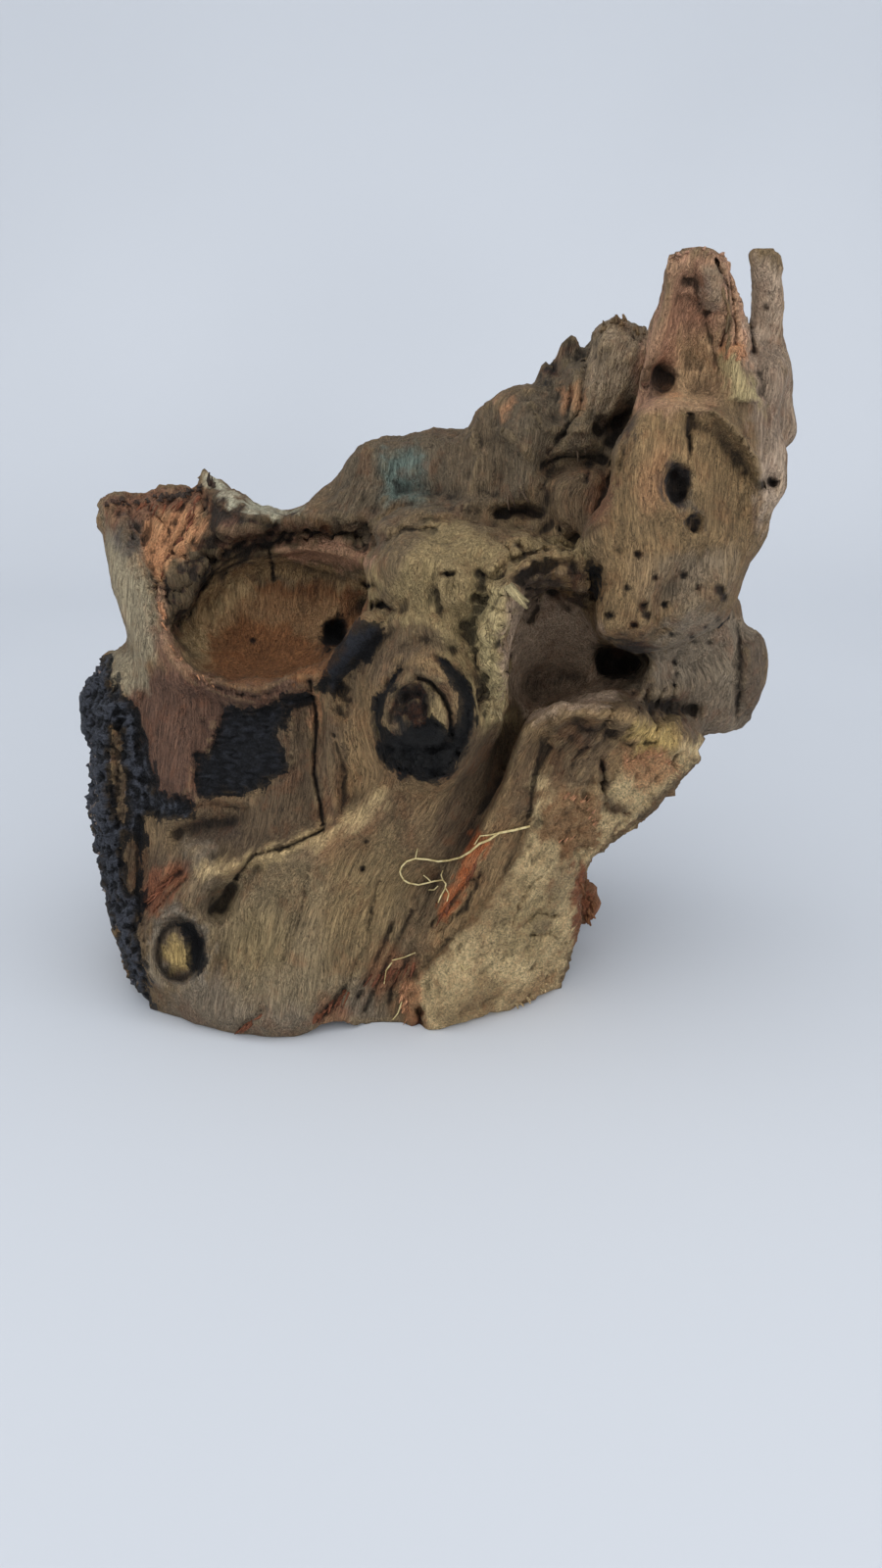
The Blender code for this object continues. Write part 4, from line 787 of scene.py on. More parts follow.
# Patches from the lowest coat up: tone, softness of the edge, share, outline
PATCHES = (
    ("ridge", 9, 0.9, ((336, 520), (346, 487), (370, 450), (450, 434), (510, 412), (549, 388), (567, 348),
                       (600, 334), (664, 330), (648, 400), (628, 470), (600, 468), (560, 474), (536, 512),
                       (440, 524), (400, 514), (372, 562))),
    ("back ridge", 8, 0.85, ((602, 356), (620, 328), (660, 342), (652, 400), (612, 436), (594, 400))),
    ("weathered", 8, 0.5, ((450, 436), (500, 424), (520, 470), (508, 512), (470, 510), (452, 470))),
    ("teal", 10, 0.75, ((388, 464), (428, 460), (436, 506), (392, 510))),
    ("olive", 9, 0.95, ((392, 548), (440, 520), (500, 545), (516, 600), (506, 700), (522, 738), (490, 745),
                        (470, 690), (430, 660), (385, 640), (368, 600))),
    ("weathered", 7, 0.8, ((368, 566), (400, 516), (446, 520), (430, 552), (396, 604))),
    ("bone", 5, 0.85, ((478, 596), (514, 600), (544, 632), (516, 640), (506, 660), (516, 690), (512, 730),
                       (496, 742), (492, 700), (482, 660))),
    ("amber", 6, 0.7, ((520, 564), (590, 556), (628, 600), (612, 640), (566, 616), (524, 604))),
    # painted fill light: the cave's inner wall gets a paler tone than its wood, to offset the shade in it
    ("cave", 5, 0.95, ((516, 612), (560, 602), (612, 640), (640, 700), (620, 722), (540, 736), (516, 706))),
    ("shadow", 4, 0.95, ((606, 658), (640, 650), (676, 657), (678, 690), (640, 700), (606, 690))),
    ("cheek", 9, 0.95, ((648, 420), (700, 410), (760, 440), (790, 500), (770, 560), (740, 600), (690, 632),
                        (618, 657), (602, 600), (620, 518), (628, 470))),
    ("amber", 10, 0.6, ((652, 425), (700, 418), (746, 446), (750, 490), (712, 500), (700, 480), (650, 490))),
    ("grey", 9, 0.35, ((650, 566), (736, 566), (704, 612), (650, 612))),
    ("pinkish", 7, 0.9, ((680, 264), (755, 256), (764, 312), (776, 360), (738, 396), (722, 420), (648, 420),
                         (650, 370), (672, 318))),
    ("red fibre", 7, 0.3, ((684, 300), (716, 298), (729, 345), (716, 384), (668, 374))),
    ("straw", 12, 0.5, ((690, 344), (728, 340), (742, 396), (712, 420), (672, 412), (690, 380))),
    # painted shade: darkens the pit at the horn's foot
    ("stain", 3, 0.75, ((654, 378), (668, 370), (690, 378), (690, 398), (672, 404), (656, 398))),
    ("torn orange", 3, 0.6, ((674, 396), (690, 392), (690, 404), (676, 408))),
    ("grey", 4, 0.7, ((716, 272), (736, 275), (736, 318), (718, 318))),
    ("column", 6, 0.9, ((770, 256), (799, 276), (806, 418), (802, 512), (776, 545), (770, 420), (761, 320))),
    ("column", 8, 0.9, ((770, 380), (802, 380), (803, 500), (786, 520), (772, 440))),
    ("peat", 8, 0.5, ((766, 350), (801, 350), (804, 440), (784, 476), (766, 424))),
    ("bone", 3, 0.9, ((740, 356), (756, 362), (763, 387), (780, 413), (745, 408), (734, 375))),
    ("torn orange", 3, 0.95, ((736, 348), (760, 350), (764, 366), (741, 363))),
    ("dusk", 4, 0.9, ((562, 500), (575, 472), (612, 466), (630, 490), (622, 532), (596, 550), (566, 536))),
    ("side", 8, 0.95, ((632, 706), (676, 650), (700, 620), (782, 640), (780, 745), (716, 752), (680, 722))),
    ("peat", 4, 0.7, ((755, 648), (781, 646), (780, 738), (757, 740))),
    ("shadow", 3, 0.9, ((657, 716), (704, 712), (700, 740), (664, 744))),
    # painted shade, with the shadow patch after it: the dark gap under the fin's broken shell
    ("umber", 4, 0.95, ((150, 612), (168, 650), (190, 640), (206, 606), (240, 576), (276, 562), (300, 554),
                        (376, 552), (394, 560), (396, 524), (312, 520), (262, 518), (226, 502), (204, 500),
                        (208, 546), (176, 584))),
    ("shadow", 3, 0.9, ((158, 600), (166, 646), (190, 634), (208, 600), (236, 570), (276, 556), (350, 550),
                        (392, 552), (388, 530), (300, 528), (262, 527), (236, 518), (214, 500), (212, 548),
                        (182, 580))),
    ("burr", 5, 0.6, ((226, 530), (262, 536), (320, 536), (316, 546), (262, 548), (232, 560), (220, 548))),
    ("rust", 5, 0.6, ((316, 528), (340, 534), (372, 536), (376, 548), (330, 548))),
    ("shell", 3, 0.95, ((203, 482), (212, 484), (222, 488), (250, 509), (300, 518), (318, 521), (300, 526),
                        (262, 524), (238, 514), (218, 497), (206, 493))),
    ("torn orange", 4, 0.6, ((196, 500), (208, 500), (210, 540), (180, 570), (170, 560), (196, 524))),
    ("shell", 8, 0.9, ((102, 512), (130, 556), (158, 600), (170, 662), (150, 670), (126, 650), (110, 584))),
    ("torn orange", 6, 0.8, ((112, 520), (160, 500), (205, 512), (207, 545), (170, 580), (158, 600),
                             (140, 578), (116, 542))),
    ("burr", 5, 0.9, ((104, 506), (150, 500), (206, 494), (208, 520), (180, 526), (150, 524), (130, 536),
                      (108, 530))),
    ("shell", 6, 0.8, ((110, 540), (140, 552), (152, 590), (140, 640), (124, 640), (108, 580))),
    ("soot", 9, 0.7, ((114, 532), (138, 530), (146, 556), (124, 566))),
    ("torn orange", 4, 0.8, ((150, 544), (178, 522), (206, 514), (202, 540), (172, 574), (160, 596),
                             (148, 572))),
    ("grey", 5, 0.7, ((112, 536), (140, 534), (146, 560), (120, 566))),
    ("pinkish", 3, 0.9, ((273, 562), (300, 552), (376, 551), (378, 577), (340, 577), (300, 569))),
    ("ridge", 4, 0.9, ((330, 523), (394, 523), (394, 562), (340, 550))),
    ("bowl", 5, 0.9, ((196, 640), (220, 612), (250, 596), (300, 592), (372, 606), (374, 634), (330, 692),
                       (240, 702), (205, 702))),
    # painted fill light: the bowl's left side and inner wall get paler tones, to offset the shade inside the
    # bowl
    ("straw", 8, 0.75, ((190, 640), (212, 604), (248, 586), (262, 602), (236, 620), (216, 652), (212, 684),
                        (196, 668))),
    ("bowl shade", 9, 0.8, ((206, 640), (226, 616), (262, 606), (350, 616), (330, 660), (246, 632),
                            (212, 668))),
    ("tongue", 4, 0.7, ((172, 656), (190, 682), (216, 694), (264, 704), (300, 690), (318, 690), (318, 706),
                        (262, 720), (200, 706))),
    ("amber", 3, 0.85, ((188, 642), (214, 594), (250, 575), (274, 571), (300, 573), (345, 585), (373, 592),
                        (373, 604), (300, 587), (252, 588), (222, 606), (198, 650))),
    ("rust", 5, 0.7, ((200, 664), (245, 630), (290, 634), (310, 654), (326, 670), (318, 692), (230, 700))),
    ("shadow", 2, 1.0, ((328, 634), (350, 631), (351, 661), (330, 665))),
    ("tongue", 4, 0.8, ((168, 668), (190, 690), (216, 702), (264, 712), (316, 700), (318, 712), (262, 724),
                        (200, 712))),
    ("pinkish", 4, 0.8, ((160, 598), (168, 600), (176, 655), (194, 682), (218, 695), (214, 708), (186, 692),
                         (164, 662))),
    ("burr", 5, 0.7, ((150, 640), (162, 640), (176, 672), (206, 700), (190, 704), (160, 680))),
    ("weathered", 14, 0.9, ((150, 930), (205, 900), (262, 884), (318, 860), (400, 810), (450, 830),
                            (440, 930), (420, 1000), (400, 1050), (250, 1060), (160, 1036), (138, 985))),
    ("amber", 16, 0.6, ((352, 742), (384, 690), (400, 790), (446, 800), (430, 870), (380, 960), (300, 940),
                        (262, 890), (318, 858), (336, 830))),
    ("grey", 16, 0.35, ((206, 892), (262, 884), (320, 862), (336, 900), (330, 990), (250, 1000), (204, 950))),
    ("olive", 16, 0.5, ((240, 930), (286, 926), (296, 980), (262, 1000), (236, 976))),
    ("torn orange", 9, 0.3, ((330, 836), (390, 820), (384, 860), (340, 884), (316, 872))),
    # painted highlight: a pale band on the upturned ridge below the long crack
    ("straw", 5, 0.85, ((200, 882), (241, 880), (273, 866), (313, 850), (346, 836), (392, 802), (396, 820),
                       (350, 852), (316, 866), (273, 884), (241, 894), (202, 896))),
    ("rust", 5, 0.7, ((332, 780), (350, 776), (352, 836), (332, 848), (324, 800))),
    ("umber", 9, 0.8, ((198, 814), (250, 822), (300, 790), (322, 730), (326, 790), (326, 826), (296, 862),
                       (250, 872), (206, 862), (196, 836))),
    ("torn orange", 2, 0.7, ((318, 700), (326, 698), (328, 744), (321, 746))),
    ("grey", 14, 0.6, ((190, 1000), (300, 990), (372, 1000), (400, 1044), (250, 1060), (170, 1042))),
    ("peat", 10, 0.6, ((108, 880), (150, 860), (200, 880), (172, 950), (150, 962), (120, 940))),
    ("red fibre", 5, 0.8, ((143, 928), (150, 888), (192, 882), (190, 902), (160, 934))),
    # painted shade: darkens the small pit on the belly
    ("stain", 6, 0.8, ((213, 906), (239, 904), (237, 930), (215, 932))),
    ("stain", 5, 0.6, ((184, 838), (245, 834), (240, 856), (188, 862))),
    ("grey", 4, 0.9, ((150, 968), (158, 936), (182, 924), (206, 936), (215, 968), (206, 1002), (182, 1013),
                      (158, 1002))),
    ("umber", 4, 0.8, ((160, 968), (168, 944), (184, 936), (202, 948), (208, 970), (196, 996), (176, 998))),
    ("yellow", 4, 0.7, ((168, 966), (174, 950), (184, 956), (190, 974), (186, 990), (174, 986))),
    ("pitch", 3, 0.8, ((184, 944), (196, 946), (204, 962), (204, 980), (194, 990), (190, 976), (194, 964))),
    ("red fibre", 6, 0.6, ((316, 1046), (326, 1016), (352, 1014), (352, 1048))),
    ("red fibre", 8, 0.5, ((372, 1006), (380, 960), (396, 966), (430, 985), (412, 1012), (392, 1016))),
    ("grey", 7, 0.6, ((188, 860), (220, 858), (222, 890), (190, 892))),
    ("tongue", 4, 0.95, ((130, 706), (144, 762), (156, 810), (184, 826), (204, 816), (208, 780),
                         (222, 766), (236, 740), (236, 722), (206, 700), (174, 682), (140, 692))),
    ("umber", 8, 0.9, ((280, 722), (322, 714), (322, 800), (272, 812))),
    ("tongue", 8, 0.5, ((200, 690), (320, 700), (322, 722), (226, 730))),
    ("shell", 5, 0.9, ((108, 664), (150, 663), (152, 706), (118, 704))),
    ("amber", 5, 0.8, ((384, 735), (388, 700), (410, 676), (450, 666), (482, 688), (488, 730), (470, 776),
                       (434, 800), (400, 785))),
    ("weathered", 4, 0.9, ((396, 730), (404, 702), (430, 688), (456, 704), (462, 740), (446, 764),
                           (412, 762))),
    ("yellow", 3, 0.6, ((386, 738), (398, 736), (400, 756), (390, 756))),
    ("umber", 5, 0.8, ((388, 710), (410, 690), (440, 686), (462, 704), (470, 740), (440, 760), (396, 756))),
    ("shadow", 6, 0.95, ((404, 704), (424, 694), (440, 700), (440, 716), (430, 750), (408, 750), (400, 726))),
    ("rust", 3, 0.5, ((417, 716), (424, 716), (424, 724), (417, 724))),
    ("olive", 3, 0.8, ((438, 694), (450, 702), (458, 722), (458, 748), (442, 740), (434, 728), (442, 712))),
    ("dusk", 4, 0.8, ((360, 640), (400, 634), (440, 640), (470, 664), (440, 664), (404, 676), (384, 700),
                      (366, 690))),
    ("umber", 5, 0.8, ((334, 700), (348, 742), (350, 830), (332, 846), (326, 780))),
    ("deep", 10, 0.9, ((484, 744), (534, 748), (524, 774), (514, 808), (492, 846), (476, 880), (450, 880),
                       (440, 850), (462, 800))),
    ("dusk", 5, 0.6, ((536, 746), (546, 790), (540, 836), (520, 840), (496, 850), (514, 808), (524, 770))),
    ("amber", 5, 0.55, ((567, 722), (534, 745), (524, 772), (514, 808), (491, 846), (478, 895), (446, 938),
                        (430, 973), (410, 1012), (442, 984), (484, 942), (514, 900), (530, 875), (543, 830),
                        (546, 790))),
    ("fresh cut", 4, 0.95, ((546, 790), (612, 800), (690, 758), (718, 757), (703, 779), (660, 822),
                            (628, 851), (596, 882), (590, 930), (583, 962), (571, 1007), (520, 1032),
                            (484, 1055), (430, 1063), (414, 1016), (442, 986), (484, 944), (516, 902),
                            (531, 877), (544, 831))),
    ("amber", 7, 0.9, ((567, 722), (621, 723), (690, 733), (702, 760), (620, 802), (560, 802), (546, 782))),
    # painted shade: darkens the hollow under the leg's shelf
    ("umber", 6, 0.6, ((572, 734), (624, 736), (640, 744), (618, 776), (596, 806), (562, 806), (560, 770))),
    ("amber", 6, 0.6, ((470, 1006), (500, 990), (520, 1010), (484, 1044), (450, 1052), (440, 1034))),
    ("rust", 6, 0.45, ((520, 1014), (560, 990), (576, 990), (560, 1014), (520, 1034))),
    ("umber", 5, 0.5, ((560, 880), (580, 876), (588, 900), (566, 936), (556, 920))),
    ("amber", 7, 0.5, ((470, 940), (500, 900), (530, 890), (530, 930), (490, 960))),
    ("olive", 8, 0.6, ((520, 930), (560, 910), (570, 950), (540, 980), (510, 970))),
    ("stain", 4, 0.5, ((544, 940), (566, 938), (564, 950), (546, 952))),
    ("red fibre", 4, 0.95, ((585, 884), (620, 886), (622, 966), (585, 968))),
    ("umber", 14, 0.5, ((352, 820), (400, 806), (430, 820), (420, 880), (380, 900), (350, 870))),
    ("yellow", 6, 0.8, ((640, 738), (692, 733), (694, 760), (646, 766))),
    ("rust", 5, 0.75, ((555, 808), (612, 804), (613, 860), (575, 878), (551, 850))),
    ("torn orange", 6, 0.7, ((630, 768), (682, 764), (692, 790), (650, 808))),
    ("rust", 3, 0.8, ((486, 848), (492, 850), (478, 896), (450, 938), (444, 932), (470, 892))),
    ("torn orange", 4, 0.8, ((409, 1002), (432, 996), (436, 1050), (424, 1054), (414, 1040))),
    ("red fibre", 3, 0.9, ((420, 1028), (436, 1030), (436, 1050), (422, 1050))),
    ("torn orange", 4, 0.6, ((508, 412), (526, 406), (524, 420), (510, 424))),
    ("torn orange", 4, 0.6, ((573, 394), (596, 392), (596, 416), (576, 418))),
    ("stain", 3, 0.8, ((549, 368), (564, 368), (564, 384), (550, 386))),
    ("stain", 3, 0.8, ((578, 342), (592, 342), (590, 352), (580, 352))),
    # painted shade: darkens the recess beside the mask's upper edge
    ("stain", 6, 0.8, ((606, 426), (644, 420), (646, 446), (610, 448))),
    ("olive", 4, 0.8, ((470, 588), (498, 560), (530, 544), (562, 546), (592, 552), (604, 572), (580, 568),
                       (550, 568), (524, 576), (508, 602), (490, 612))),
    # painted shade: darkens the groove under the arch over the cave
    ("stain", 3, 0.9, ((522, 598), (534, 580), (556, 574), (580, 578), (600, 588), (608, 616), (584, 620),
                       (560, 606), (540, 608))),
    ("amber", 2, 0.9, ((556, 580), (578, 580), (584, 600), (572, 610), (576, 592), (566, 584))),
    ("umber", 5, 0.8, ((384, 604), (404, 612), (404, 628), (384, 626))),
    ("red fibre", 6, 0.4, ((612, 490), (628, 486), (624, 524), (602, 540), (600, 516))),
    ("torn orange", 9, 0.35, ((664, 456), (690, 456), (676, 480), (676, 516), (660, 530), (650, 500))),
    ("umber", 6, 0.45, ((620, 704), (660, 690), (740, 700), (756, 730), (720, 748), (650, 740))),
    # painted shade: the hollow under the leg's shelf, darkened again, most of all in its deepest part
    ("umber", 10, 0.5, ((560, 730), (590, 738), (640, 744), (620, 776), (600, 806), (556, 806), (548, 780))),
    ("stain", 4, 0.6, ((586, 742), (612, 744), (606, 760), (590, 764))),
    ("stain", 3, 0.8, ((612, 776), (618, 776), (622, 812), (648, 824), (640, 834), (616, 826))),
    ("soot", 3, 0.9, ((676, 484), (682, 474), (692, 472), (701, 478), (705, 492), (704, 508), (698, 518),
                      (688, 518), (680, 510), (676, 496))),
    ("umber", 2, 0.7, ((682, 494), (690, 488), (698, 494), (692, 500), (684, 500))),
    ("soot", 2, 0.9, ((702, 528), (708, 524), (715, 527), (718, 534), (714, 542), (706, 543), (701, 537))),
    ("amber", 2, 0.7, ((707, 532), (712, 531), (712, 538), (707, 538))),
    ("shadow", 3, 0.9, ((504, 520), (550, 515), (552, 527), (506, 528))),
    ("pale shell", 2, 0.85, ((205, 484), (212, 484), (222, 490), (236, 502), (250, 511), (272, 517),
                             (300, 521), (312, 520), (300, 526), (272, 524), (250, 519), (232, 511),
                             (216, 498), (207, 493))),
    ("soot", 7, 0.6, ((116, 534), (138, 532), (145, 550), (132, 564), (118, 558))),
    ("peat", 5, 0.6, ((536, 750), (552, 760), (546, 800), (540, 836), (522, 840), (524, 800))),
    # painted highlight again, over the umber: the pale band on the ridge below the long crack
    ("straw", 5, 0.55, ((200, 882), (241, 880), (273, 866), (313, 850), (346, 836), (392, 802), (396, 816),
                       (350, 848), (316, 862), (273, 880), (241, 890), (202, 894))),
    ("amber", 9, 0.5, ((618, 560), (650, 545), (690, 560), (668, 600), (640, 622), (616, 600))),
    ("side", 10, 0.5, ((690, 570), (750, 560), (742, 600), (700, 632), (668, 622))),
    ("umber", 3, 0.9, ((112, 738), (124, 746), (130, 790), (128, 840), (116, 836), (115, 790))),
    ("umber", 3, 0.9, ((126, 850), (142, 854), (142, 902), (128, 912))),
    ("pitch", 3, 0.85, ((545, 362), (566, 364), (566, 382), (547, 390))),
    ("pitch", 3, 0.8, ((570, 340), (592, 340), (590, 356), (580, 368), (570, 368))),
    ("burr", 4, 0.7, ((650, 380), (664, 366), (674, 372), (664, 394), (652, 398))),
    ("ember", 3, 0.8, ((486, 848), (496, 852), (484, 892), (454, 938), (445, 932), (468, 890))),
    ("olive", 14, 0.4, ((220, 900), (330, 870), (400, 840), (424, 900), (392, 980), (330, 1030), (240, 1020),
                        (212, 960))),
)

# Burnt wood of the great knot, which has next to no ash on it
PITCH = (
    ((410, 681), (396, 694), (385, 713), (381, 740), (385, 768), (397, 788), (420, 798), (447, 798),
     (464, 784), (476, 767), (486, 735), (487, 716), (478, 698), (460, 677), (443, 667), (443, 675),
     (454, 689), (467, 703), (471, 718), (468, 746), (458, 744), (450, 736), (437, 734), (424, 738),
     (436, 720), (436, 702), (424, 698), (408, 706), (402, 730), (404, 746), (392, 738), (395, 714),
     (404, 697), (414, 686)),
)

# Burnt places, which end sharply, and the tone of the ash on them; the last two are holes, blackened as
# painted shade
CHAR = (
    ("ash", ((72, 660), (96, 664), (112, 670), (122, 704), (138, 712), (150, 762), (163, 806), (196, 818),
             (200, 836), (150, 836), (146, 900), (142, 960), (162, 1044), (130, 1010), (96, 900),
             (70, 760))),
    ("dim ash", ((227, 724), (268, 720), (313, 702), (320, 712), (296, 730), (284, 752), (294, 784),
                 (270, 806), (246, 814), (197, 811), (197, 768), (212, 764))),
    ("pitch", ((186, 940), (198, 944), (209, 960), (208, 982), (194, 996), (194, 974), (190, 956))),
    ("dim ash", ((322, 702), (350, 652), (374, 628), (394, 632), (392, 652), (340, 712))),
    ("pitch", ((410, 681), (396, 694), (385, 713), (381, 740), (385, 768), (397, 788), (420, 798),
               (447, 798), (464, 784), (476, 767), (486, 735), (487, 716), (478, 698), (460, 677),
               (443, 667), (443, 675), (454, 689), (467, 703), (471, 718), (468, 744), (458, 745),
               (450, 737), (437, 735), (420, 739), (410, 746), (400, 748), (392, 738), (395, 714),
               (404, 697), (414, 686))),
    # painted shade: the bowl's hole and the dark opening at the arch's right end are laid as pitch-black char
    ("pitch", ((330, 634), (350, 630), (352, 660), (332, 666), (326, 650))),
    ("pitch", ((594, 574), (616, 576), (614, 612), (602, 610))),
)

# Bare wood between the burnt places
BARE = (
    ((113, 742), (122, 748), (128, 790), (126, 838), (118, 834), (117, 790)),
    ((128, 852), (140, 856), (140, 900), (130, 910)),
)

# Dark lines: half width on the sheet, sheet points
DARK_LINES = (
    (1.8, ((316, 695), (323, 727), (321, 789), (328, 826), (330, 847), (294, 864), (257, 874), (240, 896))),
    (3.0, ((407, 686), (392, 704), (385, 728))), (3.6, ((444, 670), (468, 686), (482, 712), (480, 740))),
    (2.0, ((425, 691), (440, 696), (451, 710), (459, 728), (461, 750))),
    (2.0, ((275, 560), (277, 574), (279, 588))),
    (1.8, ((730, 266), (744, 296), (745, 322), (736, 352))), (1.6, ((702, 420), (701, 440), (703, 460))),
    (2.4, ((601, 475), (600, 484), (598, 492))), (1.6, ((752, 634), (756, 676), (752, 735))),
    (2.0, ((758, 276), (762, 312), (770, 356))),
    (2.2, ((184, 632), (200, 609), (216, 588), (250, 571), (274, 563))), (2.6, ((372, 596), (384, 598))),
    (2.6, ((380, 618), (392, 616), (398, 622))), (2.4, ((450, 586), (463, 585))),
    (2.2, ((488, 584), (496, 590))),
    (2.0, ((614, 778), (616, 800))),
    (2.4, ((424, 1030), (430, 1044), (426, 1052))),
    (2.0, ((182, 936), (204, 944), (210, 968), (200, 996))),
)

PALE_EDGE = (172, 146, 104)
COAL = (15, 15, 17)
# the dark of the char's shrinkage gaps, and painted shade in its hollows
COAL_GAP_SHADE = (10, 10, 11)
ASH_SHADE = (188, 188, 188)  # what is left of a tone where it stands for ash
WARM = (150, 84, 44)
DAYLIGHT_GAIN = 1.95  # how much paler the wood itself is than it looks in this light
RICHNESS = 1.07  # how far the tones are drawn away from grey
BUMP_STRENGTH = 0.95
BUMP_DEPTH = 0.0015  # in metres

# How the char's depth is counted, in sheet points
FAR_FROM_CHAR = 20.0
CHAR_UNIT = 10.0


def linear(tone, gain=1.0):
    """A colour from parts of 255 as the shader wants it."""
    share = np.array(tone, float) / 255
    return np.minimum(np.where(share <= 0.04045, share / 12.92, ((share + 0.055) / 1.055) ** 2.4) * gain, 0.9)


def averaged(values, edges, turns):
    """Values at the points of a mesh, each one shared with its neighbours as often as asked."""
    a, b = edges[:, 0], edges[:, 1]
    count = len(values)
    around = np.bincount(a, minlength=count) + np.bincount(b, minlength=count) + 1.0
    for _ in range(turns):
        total = values.copy()
        for axis in range(values.shape[1]):
            total[:, axis] += np.bincount(a, values[b, axis], count) + np.bincount(b, values[a, axis], count)
        values = total / around[:, None]
    return values


def line_gap(sheet, line):
    """How far each sheet place lies from a line of points."""
    corners = np.array(line, float)
    best = np.full(len(sheet), np.inf)
    for a, b in zip(corners[:-1], corners[1:]):
        edge = b - a
        along = np.clip(((sheet - a) @ edge) / (edge @ edge), 0, 1)
        best = np.minimum(best, np.linalg.norm(sheet - a - along[:, None] * edge, axis=1))
    return best


def keep(obj, name, values):
    """Keeps values on the mesh for its material to read."""
    if values.ndim == 1:
        attribute = obj.data.attributes.new(name, "FLOAT", "POINT")
        attribute.data.foreach_set("value", values.astype(np.float32))
    else:
        attribute = obj.data.attributes.new(name, "FLOAT_COLOR", "POINT")
        full = np.ones((len(values), 4), np.float32)
        full[:, :3] = values
        attribute.data.foreach_set("color", full.ravel())


def lay(tones, name, share):
    """Lays a named tone over the others, at each point as much as its share."""
    tones += (linear(TONES[name]) - tones) * share[:, None]


def plain_wood(flow):
    """The tones of weathered wood, in broad bands along the fibres."""
    tones = np.tile(linear(TONES["weathered"]), (len(flow), 1))
    lay(tones, "cheek", 0.6 * smooth_step(noise_at(flow, 16.0, (1, 1, 5.0), shift=3.1), -0.4, 0.4))
    lay(tones, "peat", 0.25 * smooth_step(noise_at(flow, 12.0, (1, 1, 6.0), shift=11.9), 0.05, 0.6))
    return tones


def add_patches(tones, sheet, ragged, seen):
    """Lays the patches, the dark lines, the pits and the great knot's pitch on what the eye sees."""
    for name, soft, share, outline in PATCHES:
        lay(tones, name, smooth_step(depth_inside(ragged, outline), -soft, soft) * share * seen)
    for half_width, line in DARK_LINES:
        far = smooth_step(line_gap(sheet, line), half_width * 0.3, half_width * 1.4)
        lay(tones, "crevice", (1 - far) * 0.7 * seen)
    for middle, radius, depth in PITS:
        # painted shade: the pits and worm holes are darkened toward the crevice tone
        far = smooth_step(np.linalg.norm(sheet - np.array(middle), axis=1), radius * 0.6, radius * 1.15)
        lay(tones, "crevice", (1 - far) * 0.9 * seen)
    for outline in PITCH:
        lay(tones, "pitch", smooth_step(depth_inside(ragged, outline), -3, 3) * 0.85 * seen)


def char_and_ash(tones, sheet, flow, seen):
    """How far inside the burnt places each point lies; their tones become those of the ash."""
    burnt = np.full(len(sheet), -FAR_FROM_CHAR)
    ash = tones.copy()
    for name, outline in CHAR:
        inside = depth_inside(sheet, outline)
        burnt = np.maximum(burnt, inside)
        ash[inside > 0] = linear(TONES[name])
    for outline in BARE:
        burnt = np.minimum(burnt, -depth_inside(sheet, outline))
    burnt = np.clip(burnt, -FAR_FROM_CHAR, FAR_FROM_CHAR) / CHAR_UNIT
    out_of_sight = 2.4 * noise_at(flow, 44.0, (1, 1, 1.8), shift=5.5) - 1.9
    burnt = burnt * seen + out_of_sight * (1 - seen) + 0.9 * noise_at(flow, 5.0, (1, 1, 2), shift=17.0)
    tones += (ash - tones) * (smooth_step(burnt, 0.45, 0.9) * seen)[:, None]
    return burnt


def paint(obj):
    """Keeps the tones, the char and the crumbling of each point on the wood."""
    wood = Wood(obj)
    flow = floats_of(obj.data.attributes["flow"].data, "vector", 3) / MM
    seen = 1 - smooth_step(wood.hidden_by(), 4, 12)
    sheet = seen_at(wood.points)
    wobble = np.stack([noise_at(flow, 4.0, (1, 1, 5), shift=7.3),
                       noise_at(flow, 5.0, (1, 1, 3), shift=31.7)], axis=1)
    ragged = sheet + 9.0 * wobble + 4.0 * noise_at(wood.points, 1.6, kind="plain")[:, None]
    tones = plain_wood(flow)
    add_patches(tones, sheet, ragged, seen)
    keep(obj, "char", char_and_ash(tones, sheet, flow, seen))
    dull = tones.mean(axis=1)[:, None]
    keep(obj, "tone", np.maximum(dull + RICHNESS * (tones - dull), 0.002))
    crumb = np.zeros(len(sheet))
    for outline, kind, height in BROKEN:
        if kind == "grainy":
            crumb = np.maximum(crumb, smooth_step(depth_inside(ragged, outline), -3, 4))
    keep(obj, "crumb", crumb * seen)


class Sum:
    """A number in a material that takes part in plain sums."""

    def __init__(self, tree, socket):
        self.tree, self.socket = tree, socket

    def under(self, kind, *others):
        node = self.tree.nodes.new("ShaderNodeMath")
        node.operation = kind
        for slot, value in zip(node.inputs, (self,) + others):
            put(self.tree, slot, value)
        return Sum(self.tree, node.outputs[0])

    def __add__(self, other):
        return self.under("ADD", other)

    def __sub__(self, other):
        return self.under("SUBTRACT", other)

    def __rsub__(self, other):
        return (self * -1.0) + other

    def __mul__(self, other):
        return self.under("MULTIPLY", other)

    __radd__, __rmul__ = __add__, __mul__

    def over(self, low, high):
        """0 below low, 1 above high, and smooth between."""
        node = self.tree.nodes.new("ShaderNodeMapRange")
        node.interpolation_type = "SMOOTHSTEP"
        for slot, value in zip(node.inputs, (self, low, high, 0.0, 1.0)):
            put(self.tree, slot, value)
        return Sum(self.tree, node.outputs[0])

    def held(self):
        return self.under("MAXIMUM", 0.0).under("MINIMUM", 1.0)


def put(tree, slot, value):
    """Gives a socket its value or its link."""
    if isinstance(value, Sum):
        tree.links.new(value.socket, slot)
    elif isinstance(value, bpy.types.NodeSocket):
        tree.links.new(value, slot)
    else:
        slot.default_value = value


